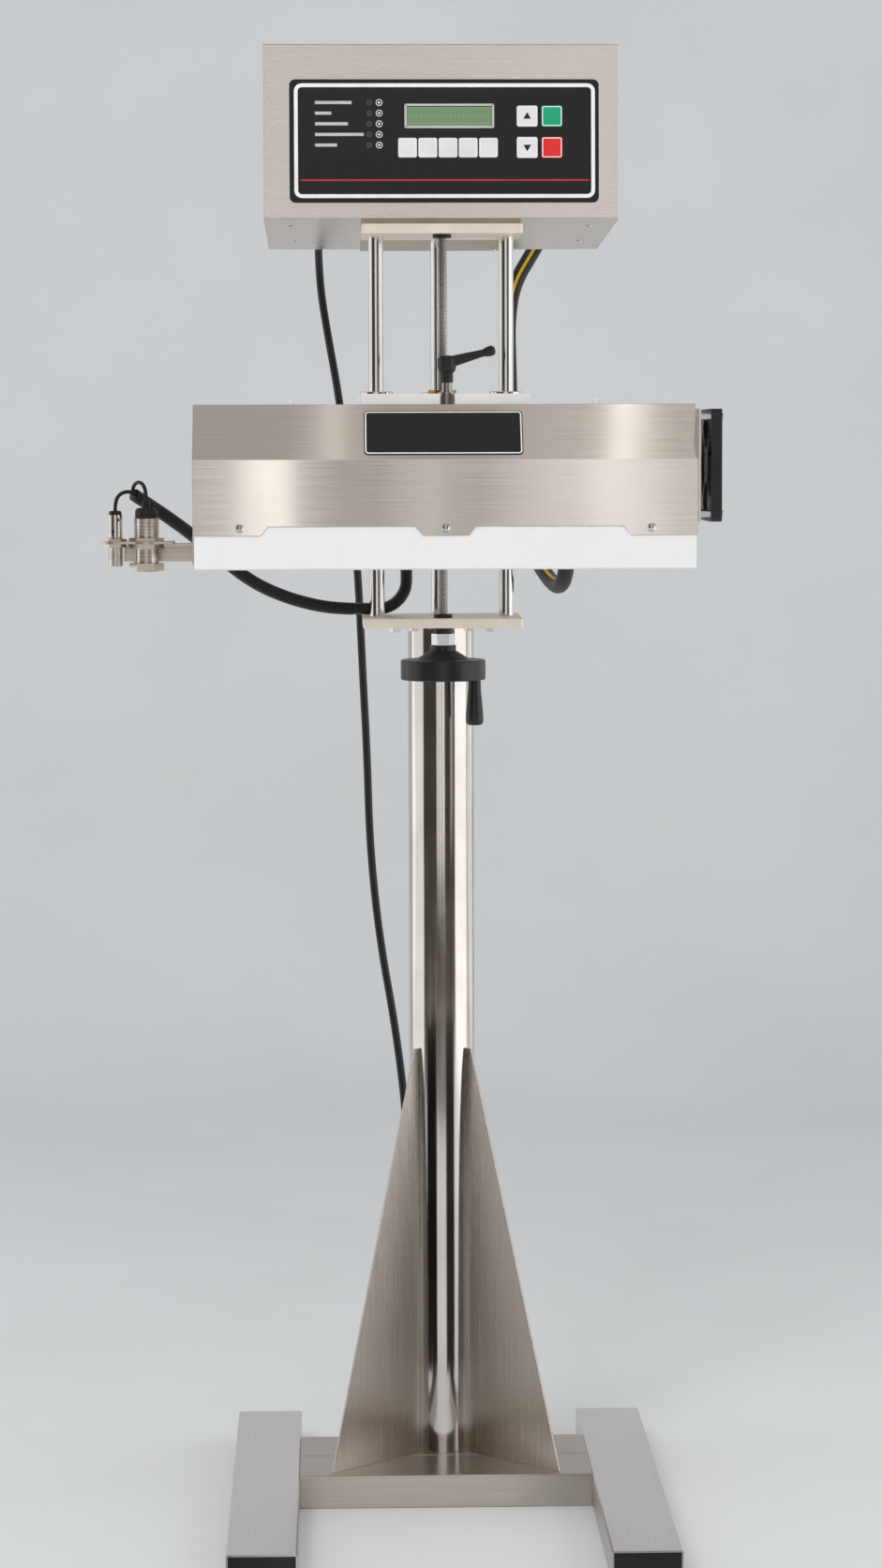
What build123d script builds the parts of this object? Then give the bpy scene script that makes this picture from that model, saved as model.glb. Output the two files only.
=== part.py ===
from build123d import *
import math
import os

# Induction cap sealer on a column stand. Millimetres, +Z up, the front looks along -Y.
# The origin is on the floor, on the column's axis.

# Floor frame
tube_height = 40.0
leg_width = 80.0
leg_wall = 2.0
leg_centre = 215.7
leg_front = -464.0
leg_rear = 180.0
cap_depth = 15.0
cap_wall = 2.5
cap_clearance = 0.05
cross_width = 93.6
cross_wall = 2.5
cross_seam = -42.5

# Column and gussets
column_radius = 40.0
column_wall = 3.0
gusset_foot_x = 137.0
gusset_foot_y = -124.0
gusset_top = 540.0
gusset_land = 6.2
gusset_thickness = 3.0

# Lower and upper plate, which are alike
plate_half_width = 94.7
plate_front = -117.0
plate_rear = 34.0
plate_thickness = 11.4
plate_corner = 4.0
lower_plate_top = 1066.9
upper_plate_bottom = 1518.5
rod_seat_depth = 8.0
fit_clearance = 0.05

# Guide rods
rod_radius = 9.0
rod_x = 77.5
rod_y = -45.0
rear_rod_x = -2.0
rear_rod_y = 15.0

# Lift screw and handwheel
screw_radius = 6.0
screw_y = -95.0
screw_clearance = 0.06
bush_radius = 11.0
bush_rim = 4.5
hub_nut_af = 24.0
hub_nut_height = 13.6
wheel_radius = 50.5
wheel_rim_height = 24.0
wheel_hub_radius = 15.5
wheel_hub_height = 17.0
wheel_web = 5.0
wheel_rim_wall = 7.0
grip_offset = 37.3
grip_length = 54.0
grip_top_radius = 7.5
grip_end_radius = 10.5
pin_radius = 3.0
pin_head_radius = 4.6
pin_head = 2.4
running_clearance = 0.05
end_play = 0.3

# Sealing head
head_half_width = 291.8
head_front = -220.0
head_rear = -112.0
head_top = 1318.5
head_fold = 1254.8
head_slant = 43.0
cover_sheet = 1.5
cover_edge = 1178.0
tab_drop = 10.5
tab_slope = 8.5
tab_half_width = 26.5
end_tab_length = 78.0
housing_bottom = 1128.0
housing_top = 1192.0
housing_wall = 8.0
housing_floor = 6.0
winding_gap = 3.0
winding_width = 24.0
winding_height = 9.0
ferrite_count = 9
ferrite_width = 16.0
ferrite_height = 14.0
cover_screw_x = 238.0
cover_screw_z = 1175.8
post_x = 178.5
post_y = -152.0
post_radius = 4.4
post_height = 6.0

# Carriage
carriage_half_width = 100.0
carriage_front = -160.0
carriage_rear = 38.0
carriage_thickness = 12.4
notch_left = -4.5
notch_right = 12.5
notch_depth = 34.0
bushing_radius = 14.5
bushing_length = 34.0
flange_radius = 20.0
flange_thickness = 4.0
bearing_clearance = 0.05
nut_radius = 13.0
nut_length = 34.0
nut_flange_radius = 16.5
nut_flange = 5.0

# Clamp lever
lever_x = 4.0
lever_y = -138.0
stud_radius = 5.0
stud_entry = 10.0
washer_radius = 10.5
washer_thickness = 2.0
post_neck_radius = 6.3
lever_collar_bottom = 1344.0
lever_collar_top = 1358.0
lever_collar_radius = 7.4
lever_hub_top = 1376.0
lever_hub_radius = 11.0
lever_arm_x = 60.5
lever_arm_z = 1382.2
lever_root_radius = 7.0
lever_arm_radius = 4.2
lever_tip_radius = 6.0

# Slim fan at the right end
fan_size = 130.0
fan_thickness = 12.2
fan_y = -163.0
fan_z = 1247.2
fan_bore_radius = 59.0
fan_hole_spacing = 111.5
fan_gap = 14.4
fan_corner = 6.0
fan_hub_radius = 21.5
fan_blades = 7
fan_blade_radius = 57.0
fan_blade_pitch = 32.0
fan_spoke = 5.0
end_plate_thickness = 2.0
end_bore_radius = 50.0
standoff_radius = 4.0

# Sensors, which reach outwards from the housing's left end
arm_reach = 83.7
arm_height = 21.0
arm_top = 1158.0
arm_front = -186.0
arm_depth = 32.0
arm_wall = 3.0
bracket_thickness = 3.0
sensor_y = -180.0
small_sensor_reach = 92.3
large_sensor_reach = 56.5
small_sensor_radius = 8.2
large_sensor_radius = 14.4
small_sensor_bottom = 1132.0
small_sensor_top = 1196.4
large_sensor_bottom = 1125.7
large_sensor_top = 1208.0
large_sensor_shell_top = 1187.4
end_nut_height = 8.7
bracket_margin = 9.0
bracket_half_depth = 20.0
bracket_gap = 23.7

# Control box, which leans back on its wedge
box_half_width = 210.0
box_height = 204.5
box_depth = 384.0
box_front_y = -82.0
box_front_z = 1537.5
box_lean = 2.487
box_sheet = 1.5
panel_thickness = 2.0
panel_flange = 14.0
box_seam = 0.1
wedge_inset = 1.0
carrier_thickness = 2.5
carrier_margin = 6.0

# Panel
overlay_left = -179.1
overlay_right = 186.1
overlay_bottom = 18.7
overlay_top = 163.2
overlay_thickness = 1.0
overlay_corner = 7.0
display_left = -40.5
display_right = 59.6
display_bottom = 108.5
display_top = 131.0
small_key_width = 22.2
small_key_height = 23.0
small_key_pitch = 23.85
small_key_first = -39.8
small_key_v = 83.0
large_key_size = 24.6
large_key_upper_v = 119.9
large_key_lower_v = 83.2
arrow_key_x = 101.4
colour_key_x = 130.6
key_proud = 1.2
key_depth = 3.0
key_travel = 0.6
key_gap = 0.3
lens_x = -85.0
lens_top_v = 136.0
lens_pitch = 12.45
lens_count = 5
lens_radius = 2.0
board_depth = 8.0
board_thickness = 1.6
board_left = -120.0
board_right = 165.0
board_bottom = 50.0
board_top = 150.0

# Power module
sink_half_width = 62.0
sink_front = 150.0
sink_rear = 300.0
sink_base = 10.0
sink_height = 48.0
fin_count = 9
fin_thickness = 3.0
module_length = 60.0
module_height = 70.0

# Cables
mains_radius = 5.0
coil_mean_radius = 56.0
coil_section = 21.0
coil_x = 15.0
coil_y = 240.0
lead_radius = 9.6
conduit_radius = 7.6
sensor_lead_radius = 2.2

lower_plate_bottom = lower_plate_top - plate_thickness
upper_plate_top = upper_plate_bottom + plate_thickness
carriage_bottom = head_top
carriage_top = carriage_bottom + carriage_thickness
cross_half_length = leg_centre - leg_width / 2
cross_front = cross_seam - cross_width

parts = {}


def block(x0, x1, y0, y1, z0, z1):
    """A box between two corners."""
    middle = Pos((x0 + x1) / 2, (y0 + y1) / 2, (z0 + z1) / 2)
    return middle * Box(x1 - x0, y1 - y0, z1 - z0)


def post(x, y, z0, z1, radius):
    """An upright cylinder."""
    return Pos(x, y, (z0 + z1) / 2) * Cylinder(radius, z1 - z0)


def cross_pin(x0, x1, y, z, radius):
    """A cylinder along X."""
    return Pos((x0 + x1) / 2, y, z) * Rot(0, 90, 0) * Cylinder(radius, x1 - x0)


def bar_along_y(x, y0, y1, z, radius):
    """A cylinder along Y."""
    return Pos(x, (y0 + y1) / 2, z) * Rot(90, 0, 0) * Cylinder(radius, y1 - y0)


def hexagon(x, y, z0, z1, across_flats):
    """An upright hexagonal prism."""
    shape = RegularPolygon(across_flats / 2, 6, major_radius=False)
    return Pos(x, y, z0) * extrude(shape, z1 - z0)


def turned(x, y, profile):
    """A body of revolution about an upright axis, from (radius, height) points."""
    face = make_face(Plane.XZ * Polyline(*profile, close=True))
    return Pos(x, y, 0) * revolve(face, Axis.Z)


def plate(x0, x1, y0, y1, z0, z1, corner):
    """A flat plate with rounded corners."""
    shape = Pos((x0 + x1) / 2, (y0 + y1) / 2) * RectangleRounded(x1 - x0, y1 - y0, corner)
    return Pos(0, 0, z0) * extrude(shape, z1 - z0)


def group(*shapes):
    """Separate solids that share one node."""
    return Compound(children=[s for shape in shapes for s in shape.solids()])


def on_box(shape):
    """From the control box's own frame (X right, Y into the box, Z up its front) to the object's."""
    return Pos(0, box_front_y, box_front_z) * Rot(-box_lean, 0, 0) * shape


def corner_radii(points):
    """The largest even arc at each corner of a cord's route."""
    radii = []
    for a, b, c in zip(points, points[1:], points[2:]):
        before = Vector(*b) - Vector(*a)
        after = Vector(*c) - Vector(*b)
        half_turn = math.radians(before.get_angle(after)) / 2
        radii.append(0.45 * min(before.length, after.length) / math.tan(half_turn))
    return radii


def cord(name, points, radius):
    """A tube along straight runs joined by arcs."""
    radii = corner_radii(points)
    route = FilletPolyline(*points, radius=radii)
    start = Plane(origin=route @ 0, z_dir=route % 0)
    tube = sweep(start * Circle(radius), path=route)
    share = tube.volume / (math.pi * radius**2 * route.length)
    print(name, "length", round(route.length), "least radius", round(min(radii)), "volume share", round(share, 4))
    return tube


# Floor frame

def leg(centre):
    outer = block(centre - leg_width / 2, centre + leg_width / 2, leg_front, leg_rear, 0, tube_height)
    inner = block(
        centre - leg_width / 2 + leg_wall, centre + leg_width / 2 - leg_wall,
        leg_front, leg_rear, leg_wall, tube_height - leg_wall,
    )
    edges = outer.edges().filter_by(Axis.Y)
    return fillet(edges, leg_wall * 1.5) - inner


def end_cap(centre, y_face, inward):
    """A ribless push-in plug, open towards the tube."""
    half = leg_width / 2 - leg_wall - cap_clearance
    low = leg_wall + cap_clearance
    high = tube_height - leg_wall - cap_clearance
    y0, y1 = sorted((y_face, y_face + inward * cap_depth))
    body = block(centre - half, centre + half, y0, y1, low, high)
    h0, h1 = sorted((y_face + inward * cap_wall, y_face + inward * cap_depth))
    hollow = block(
        centre - half + cap_wall, centre + half - cap_wall, h0, h1, low + cap_wall, high - cap_wall
    )
    return body - hollow


def cross_tube(y0):
    outer = block(-cross_half_length, cross_half_length, y0, y0 + cross_width, 0, tube_height)
    inner = block(
        -cross_half_length, cross_half_length,
        y0 + cross_wall, y0 + cross_width - cross_wall, cross_wall, tube_height - cross_wall,
    )
    edges = outer.edges().filter_by(Axis.X)
    return fillet(edges, cross_wall * 0.8) - inner


parts["left_leg"] = leg(-leg_centre)
parts["right_leg"] = leg(leg_centre)
parts["leg_end_caps"] = group(
    *[end_cap(side * leg_centre, leg_front, 1) for side in (-1, 1)],
    *[end_cap(side * leg_centre, leg_rear, -1) for side in (-1, 1)],
)
parts["cross_tubes"] = group(cross_tube(cross_front), cross_tube(cross_seam))

# Column and gussets
parts["column"] = post(0, 0, tube_height, lower_plate_bottom, column_radius) - post(
    0, 0, tube_height, lower_plate_bottom, column_radius - column_wall
)


def gusset(side):
    """A thin plate with a pointed foot, standing on the cross tubes against the column."""
    reach = math.hypot(gusset_foot_x, gusset_foot_y)
    turn = math.degrees(math.atan2(gusset_foot_y, side * gusset_foot_x))
    outline = Polyline(
        (column_radius, tube_height), (reach, tube_height),
        (column_radius + gusset_land, gusset_top), (column_radius, gusset_top), close=True,
    )
    sheet = extrude(make_face(Plane.XZ * outline), gusset_thickness / 2, both=True)
    return Rot(0, 0, turn) * sheet


parts["gussets"] = group(gusset(-1), gusset(1))

# Plates, rods and wedge

rod_places = [(-rod_x, rod_y), (rod_x, rod_y), (rear_rod_x, rear_rod_y)]
rod_bottom = lower_plate_top - rod_seat_depth
rod_top = upper_plate_bottom + rod_seat_depth
bolt_places = [(-56.0, -95.0), (56.0, -95.0), (-33.0, -62.0), (33.0, -62.0)]
bolt_radius = 4.0
bolt_af = 13.0
bolt_head = 5.5
bolt_hole_depth = 9.0


def end_plate(z0):
    body = plate(-plate_half_width, plate_half_width, plate_front, plate_rear, z0, z0 + plate_thickness, plate_corner)
    return chamfer(body.faces().sort_by(Axis.Z)[-1].edges(), 0.6)


lower_plate = end_plate(lower_plate_bottom)
upper_plate = end_plate(upper_plate_bottom)
for x, y in rod_places:
    lower_plate -= post(x, y, rod_bottom, lower_plate_top + 1, rod_radius + fit_clearance)
    upper_plate -= post(x, y, upper_plate_bottom - 1, rod_top, rod_radius + fit_clearance)
for x, y in bolt_places:
    lower_plate -= post(x, y, lower_plate_bottom - 1, lower_plate_bottom + bolt_hole_depth, bolt_radius + fit_clearance)
bush_body = screw_radius + 3.0
lower_plate -= post(0, screw_y, lower_plate_bottom - 1, lower_plate_top + 1, bush_body + fit_clearance)
upper_plate -= post(0, screw_y, upper_plate_bottom - 1, upper_plate_top - 2.0, bush_body + fit_clearance)
parts["lower_plate"] = lower_plate
parts["upper_plate"] = upper_plate
parts["guide_rods"] = group(
    *[chamfer(post(x, y, rod_bottom, rod_top, rod_radius).edges().filter_by(GeomType.CIRCLE), 1.0) for x, y in rod_places]
)

lean = math.radians(box_lean)


def box_underside(y):
    """Height of the leaning box's bottom plane."""
    return box_front_z - math.tan(lean) * (y - box_front_y)


wedge_rear = plate_rear
wedge_outline = Polyline(
    (box_front_y + wedge_inset, upper_plate_top), (wedge_rear, upper_plate_top),
    (wedge_rear, box_underside(wedge_rear)), (box_front_y + wedge_inset, box_underside(box_front_y + wedge_inset)),
    close=True,
)
carrier_screw_places = [(-76.0, 190.0), (76.0, 190.0), (-76.0, 356.0), (76.0, 356.0)]
box_screw_hole = 2.05
wedge = extrude(make_face(Plane.YZ * wedge_outline), plate_half_width - wedge_inset, both=True)
wedge += on_box(block(
    -plate_half_width + wedge_inset, plate_half_width - wedge_inset,
    wedge_rear - box_front_y - 1.0, box_depth - carrier_margin, -carrier_thickness, 0,
))
for x, d in carrier_screw_places:
    wedge -= on_box(post(x, d, -carrier_thickness - 1, 1, box_screw_hole))
parts["tilt_wedge"] = wedge

# Screws under the plates and the box
box_screw_places = [(-179.5, 81.0), (179.5, 81.0), (-176.0, 271.0), (179.5, 271.0)]
box_screw_head = 2.2
box_screw_radius = 3.6


def plate_bolt(x, y):
    head = hexagon(x, y, lower_plate_bottom - bolt_head, lower_plate_bottom, bolt_af)
    return head + post(x, y, lower_plate_bottom, lower_plate_bottom + bolt_hole_depth - 0.5, bolt_radius)


def box_screw(x, y, seat):
    """A round headed screw from below, whose head bears on a seat at the given height."""
    head = post(x, y, seat - box_screw_head, seat, box_screw_radius)
    head = fillet(head.edges().sort_by(Axis.Z)[0], 1.2)
    return on_box(head + post(x, y, seat, 8.0, 2.0))


parts["stand_bolts"] = group(
    *[plate_bolt(x, y) for x, y in bolt_places],
    *[box_screw(x, y, 0) for x, y in box_screw_places],
    *[box_screw(x, y, -carrier_thickness) for x, y in carrier_screw_places],
)


# Lift screw, bushes, nut, handwheel and grip

def flanged_bush(z0, z1, rim_z0, rim_z1):
    bush = post(0, screw_y, z0, z1, bush_body) + post(0, screw_y, rim_z0, rim_z1, bush_radius)
    return bush - post(0, screw_y, min(z0, rim_z0) - 1, max(z1, rim_z1) + 1, screw_radius + screw_clearance)


collar_height = 7.0
mid_lower_plate = lower_plate_bottom + plate_thickness / 2
upper_bush_end = upper_plate_top - 2.2
lower_half = flanged_bush(lower_plate_bottom, mid_lower_plate - 0.1, lower_plate_bottom - collar_height, lower_plate_bottom)
upper_half = flanged_bush(mid_lower_plate + 0.1, lower_plate_top, lower_plate_top, lower_plate_top + bush_rim)
top_bush = flanged_bush(upper_plate_bottom, upper_bush_end, upper_plate_bottom - bush_rim, upper_plate_bottom)
parts["screw_bushes"] = group(lower_half, upper_half, top_bush)

nut_top = lower_plate_bottom - collar_height - end_play
nut_bottom = nut_top - hub_nut_height
wheel_hub_top = nut_bottom
wheel_rim_top = wheel_hub_top - wheel_hub_height
wheel_rim_bottom = wheel_rim_top - wheel_rim_height
hub_bore = screw_radius + fit_clearance
hub_screw_bottom = wheel_rim_bottom + 4.0
screw_top = upper_bush_end - 1.0
parts["lift_screw"] = chamfer(
    post(0, screw_y, hub_screw_bottom, screw_top, screw_radius).edges().filter_by(GeomType.CIRCLE), 1.0
)
parts["hub_nut"] = hexagon(0, screw_y, nut_bottom, nut_top, hub_nut_af) - post(
    0, screw_y, nut_bottom - 1, nut_top + 1, hub_bore
)

rim_inner = wheel_radius - wheel_rim_wall
web_top = wheel_rim_top - 1.0
web_bottom = web_top - wheel_web
wheel = turned(0, screw_y, [
    (hub_bore, wheel_hub_top), (wheel_hub_radius, wheel_hub_top), (wheel_hub_radius, wheel_hub_top - 6.5),
    (32.0, wheel_rim_top + 0.5), (rim_inner - 4.0, web_top), (rim_inner, wheel_rim_top - 0.2),
    (rim_inner + 1.6, wheel_rim_top), (wheel_radius - 1.8, wheel_rim_top),
    (wheel_radius - 0.5, wheel_rim_top - 0.5), (wheel_radius, wheel_rim_top - 1.8),
    (wheel_radius, wheel_rim_bottom + 1.8), (wheel_radius - 0.5, wheel_rim_bottom + 0.5),
    (wheel_radius - 1.8, wheel_rim_bottom), (rim_inner + 1.6, wheel_rim_bottom), (rim_inner, wheel_rim_bottom + 1.2),
    (rim_inner, web_bottom - 1.0), (rim_inner - 4.0, web_bottom), (wheel_hub_radius + 3.0, web_bottom),
    (wheel_hub_radius, web_bottom - 3.0), (wheel_hub_radius, wheel_rim_bottom + 1.0), (hub_bore, wheel_rim_bottom + 1.0),
])
grip_boss_radius = 7.0
grip_top = wheel_rim_bottom - end_play
wheel += post(grip_offset, screw_y, grip_top + end_play, web_top - 1.0, grip_boss_radius)
pin_end = grip_top - grip_length + pin_head + 1.6
wheel += post(grip_offset, screw_y, pin_end, web_top - 2.0, pin_radius)
wheel += post(grip_offset, screw_y, pin_end - pin_head, pin_end, pin_head_radius)
parts["handwheel"] = wheel

grip_bottom = grip_top - grip_length
grip_outer = turned(grip_offset, screw_y, [
    (0, grip_top), (grip_top_radius - 0.8, grip_top), (grip_top_radius, grip_top - 1.0),
    (grip_top_radius + 0.3, grip_top - 12.0), (grip_end_radius - 1.1, grip_top - 30.0),
    (grip_end_radius, grip_top - 42.0), (grip_end_radius, grip_bottom + 4.0),
    (grip_end_radius - 1.2, grip_bottom + 1.2), (grip_end_radius - 3.4, grip_bottom), (0, grip_bottom),
])
pocket_top = pin_end + end_play
grip = grip_outer - post(grip_offset, screw_y, grip_bottom, grip_top + 1, pin_radius + running_clearance)
parts["wheel_grip"] = grip - post(grip_offset, screw_y, grip_bottom - 1, pocket_top, pin_head_radius + 0.3)

# Carriage plate, bushings and lift nut

carriage = plate(
    -carriage_half_width, carriage_half_width, carriage_front, carriage_rear,
    carriage_bottom, carriage_top, plate_corner,
)
carriage -= block(
    notch_left, notch_right, carriage_front - 1, carriage_front + notch_depth, carriage_bottom - 1, carriage_top + 1
)
for x, y in rod_places:
    carriage -= post(x, y, carriage_bottom - 1, carriage_top + 1, bushing_radius + fit_clearance)
carriage -= post(0, screw_y, carriage_bottom - 1, carriage_top + 1, nut_radius + fit_clearance)
parts["carriage_plate"] = carriage


def bushing(x, y):
    bottom = carriage_top - bushing_length
    body = post(x, y, bottom, carriage_top, bushing_radius)
    flange = post(x, y, carriage_top, carriage_top + flange_thickness, flange_radius)
    flange = chamfer(flange.edges().sort_by(Axis.Z)[-1], 0.8)
    bore = post(x, y, bottom - 1, carriage_top + flange_thickness + 1, rod_radius + bearing_clearance)
    return body + flange - bore


parts["guide_bushings"] = group(*[bushing(x, y) for x, y in rod_places])
lift_nut = post(0, screw_y, carriage_top - nut_length, carriage_top, nut_radius)
lift_nut += post(0, screw_y, carriage_top, carriage_top + nut_flange, nut_flange_radius)
lift_nut -= post(0, screw_y, carriage_top - nut_length - 1, carriage_top + nut_flange + 1, screw_radius + screw_clearance)
parts["lift_nut"] = lift_nut

# Clamp lever

parts["lever_stud"] = (
    post(lever_x, lever_y, carriage_bottom + 0.5, lever_collar_bottom + stud_entry, stud_radius)
    + post(lever_x, lever_y, carriage_top, carriage_top + washer_thickness, washer_radius)
    + post(lever_x, lever_y, carriage_top, lever_collar_bottom, post_neck_radius)
)
hub = turned(lever_x, lever_y, [
    (0, lever_collar_bottom), (lever_collar_radius - 1, lever_collar_bottom),
    (lever_collar_radius, lever_collar_bottom + 1), (lever_collar_radius, lever_collar_top - 3),
    (lever_hub_radius - 1.0, lever_collar_top), (lever_hub_radius, lever_collar_top + 4),
    (lever_hub_radius, lever_hub_top - 4), (lever_hub_radius - 3, lever_hub_top - 0.8), (0, lever_hub_top),
])
hub -= post(
    lever_x, lever_y, lever_collar_bottom - 1, lever_collar_bottom + stud_entry, stud_radius + fit_clearance
)
arm_root_z = (lever_collar_top + lever_hub_top) / 2
arm_run = lever_arm_x - lever_x
arm_rise = lever_arm_z - arm_root_z
arm_length = math.hypot(arm_run, arm_rise)
arm_slope = math.degrees(math.atan2(arm_rise, arm_run))
arm_profile = make_face(Plane.XZ * Polyline(
    (0, 0), (lever_root_radius, 0), (lever_root_radius - 0.8, arm_length * 0.25),
    (lever_arm_radius, arm_length * 0.75), (lever_tip_radius, arm_length - 8.0),
    (lever_tip_radius, arm_length - 3.0), (lever_tip_radius - 2.4, arm_length), (0, arm_length), close=True,
))
arm = Pos(lever_x, lever_y, arm_root_z) * Rot(0, 90 - arm_slope, 0) * revolve(arm_profile, Axis.Z)
parts["clamp_lever"] = hub + (arm - post(lever_x, lever_y, lever_collar_bottom, arm_root_z + 6, stud_radius + 1.0))


# Sealing head: folded cover

def head_outline(inset, bottom):
    """The head's section in Y and Z, inset by a wall. The slanted face keeps its wall thickness."""
    slope = math.atan2(head_slant, head_top - head_fold)
    shift = inset * math.tan(slope / 2)
    turn = math.pi / 2 - slope
    top_shift = inset * math.tan(turn / 2)
    front_y = head_front + inset
    top_z = head_top - inset
    return [
        (front_y, bottom), (front_y, head_fold - shift),
        (head_front + head_slant + top_shift, top_z), (head_rear - inset, top_z), (head_rear - inset, bottom),
    ]


def head_body(half_width, inset, bottom):
    face = make_face(Plane.YZ * Polyline(*head_outline(inset, bottom), close=True))
    return extrude(face, half_width, both=True)


def tab(x0, x1, slope_left, slope_right, y0):
    """A lowered tongue of the cover that takes a screw."""
    low = cover_edge - tab_drop
    outline = Polyline(
        (x0 - slope_left, cover_edge), (x0, low), (x1, low), (x1 + slope_right, cover_edge), close=True
    )
    return Pos(0, y0 + cover_sheet, 0) * extrude(make_face(Plane.XZ * outline), cover_sheet)


cover = head_body(head_half_width, 0, cover_edge)
cover -= head_body(head_half_width - cover_sheet, cover_sheet, cover_edge)
tab_spans = [
    (-head_half_width, -head_half_width + end_tab_length, 0, tab_slope),
    (-tab_half_width, tab_half_width, tab_slope, tab_slope),
    (head_half_width - end_tab_length, head_half_width, tab_slope, 0),
]
for x0, x1, slope_left, slope_right in tab_spans:
    cover += tab(x0, x1, slope_left, slope_right, head_front)
    cover += tab(x0, x1, slope_left, slope_right, head_rear - cover_sheet)
end_plate_x = head_half_width
fan_low = fan_z - fan_size / 2
fan_high = fan_z + fan_size / 2
fan_front = fan_y - fan_size / 2
fan_rear = fan_y + fan_size / 2
cover += block(end_plate_x, end_plate_x + end_plate_thickness, fan_front, fan_rear, fan_low, fan_high)
cover -= cross_pin(end_plate_x - 5, end_plate_x + 5, fan_y, fan_z, end_bore_radius)
screw_spots = [
    (x, y) for x in (-cover_screw_x, 0, cover_screw_x) for y in (head_front, head_rear)
]
for x, y in screw_spots:
    cover -= bar_along_y(x, y - 3, y + 3, cover_screw_z, 2.2)
for x in (-post_x, post_x):
    cover -= post(x, post_y, head_top - 3, head_top + 3, 2.2)
parts["head_cover"] = cover

# Coil housing, winding and ferrites
house_front = head_front + cover_sheet
house_rear = head_rear - cover_sheet
house_half = head_half_width - cover_sheet
housing = block(-house_half, house_half, house_front, house_rear, housing_bottom, housing_top)
bottom_edges = housing.faces().sort_by(Axis.Z)[0].edges()
housing = chamfer(bottom_edges, 1.5)
housing -= block(
    -house_half + housing_wall, house_half - housing_wall, house_front + housing_wall, house_rear - housing_wall,
    housing_bottom + housing_floor, housing_top + 1,
)
for x, y in screw_spots:
    inward = 1 if y == head_front else -1
    y0, y1 = sorted((y, y + inward * (cover_sheet + 6.0)))
    housing -= bar_along_y(x, y0, y1, cover_screw_z, 2.0)
parts["coil_housing"] = housing

winding_floor = housing_bottom + housing_floor
wind_half_x = house_half - housing_wall - winding_gap
wind_y0 = house_front + housing_wall + winding_gap
wind_y1 = house_rear - housing_wall - winding_gap
wind_mid = (wind_y0 + wind_y1) / 2
wind_depth = wind_y1 - wind_y0
winding_shape = SlotOverall(2 * wind_half_x, wind_depth) - SlotOverall(
    2 * wind_half_x - 2 * winding_width, wind_depth - 2 * winding_width
)
parts["coil_winding"] = Pos(0, wind_mid, winding_floor) * extrude(winding_shape, winding_height)
ferrite_pitch = 2 * (wind_half_x - wind_depth / 2) / (ferrite_count - 1)
ferrite_low = winding_floor + winding_height
parts["ferrite_bars"] = group(*[
    block(
        (i - (ferrite_count - 1) / 2) * ferrite_pitch - ferrite_width / 2,
        (i - (ferrite_count - 1) / 2) * ferrite_pitch + ferrite_width / 2,
        wind_y0, wind_y1, ferrite_low, ferrite_low + ferrite_height,
    )
    for i in range(ferrite_count)
])


def cover_screw(x, y):
    outward = -1 if y == head_front else 1
    dome = Sphere(6.5) & (Pos(0, 0, 6.5 - 1.3) * Box(30, 30, 2.6))
    dome = Pos(0, 0, -(6.5 - 2.6)) * dome
    dome = Rot(90, 0, 0) * dome if outward < 0 else Rot(-90, 0, 0) * dome
    y0, y1 = sorted((y, y - outward * (cover_sheet + 5.5)))
    return Pos(x, y, cover_screw_z) * dome + bar_along_y(x, y0, y1, cover_screw_z, 1.9)


parts["cover_screws"] = group(*[cover_screw(x, y) for x, y in screw_spots])


def post_cap(x):
    cap = post(x, post_y, head_top, head_top + post_height, post_radius)
    cap = fillet(cap.edges().sort_by(Axis.Z)[-1], 1.0)
    return cap + post(x, post_y, head_top - 6, head_top, 2.0)


parts["post_caps"] = group(post_cap(-post_x), post_cap(post_x))

# Slim fan on four standoffs
fan_x0 = end_plate_x + end_plate_thickness + fan_gap - end_plate_thickness
fan_x1 = fan_x0 + fan_thickness
hole_places = [
    (fan_y + i * fan_hole_spacing / 2, fan_z + j * fan_hole_spacing / 2) for i in (-1, 1) for j in (-1, 1)
]
fan_square = Pos(fan_y, fan_z) * RectangleRounded(fan_size, fan_size, fan_corner)
frame_body = extrude(Plane.YZ * fan_square, fan_thickness)
frame_body = Pos(fan_x0, 0, 0) * frame_body
frame_body -= cross_pin(fan_x0 - 1, fan_x1 + 1, fan_y, fan_z, fan_bore_radius)
spoke_depth = 2.6
spoke_half = fan_bore_radius + 1.0
for turn in (45, 135):
    spoke = Box(spoke_depth, 2 * spoke_half, fan_spoke)
    frame_body += Pos(fan_x0 + spoke_depth / 2, fan_y, fan_z) * Rot(turn, 0, 0) * spoke
frame_body += cross_pin(fan_x0, fan_x0 + spoke_depth, fan_y, fan_z, fan_hub_radius)
shaft_radius = 1.5
shaft_end = fan_x0 + 8.0
frame_body += cross_pin(fan_x0 + spoke_depth, shaft_end, fan_y, fan_z, shaft_radius)
for y, z in hole_places:
    frame_body -= cross_pin(fan_x0 - 1, fan_x1 + 1, y, z, 2.2)
parts["fan_frame"] = frame_body

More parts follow.
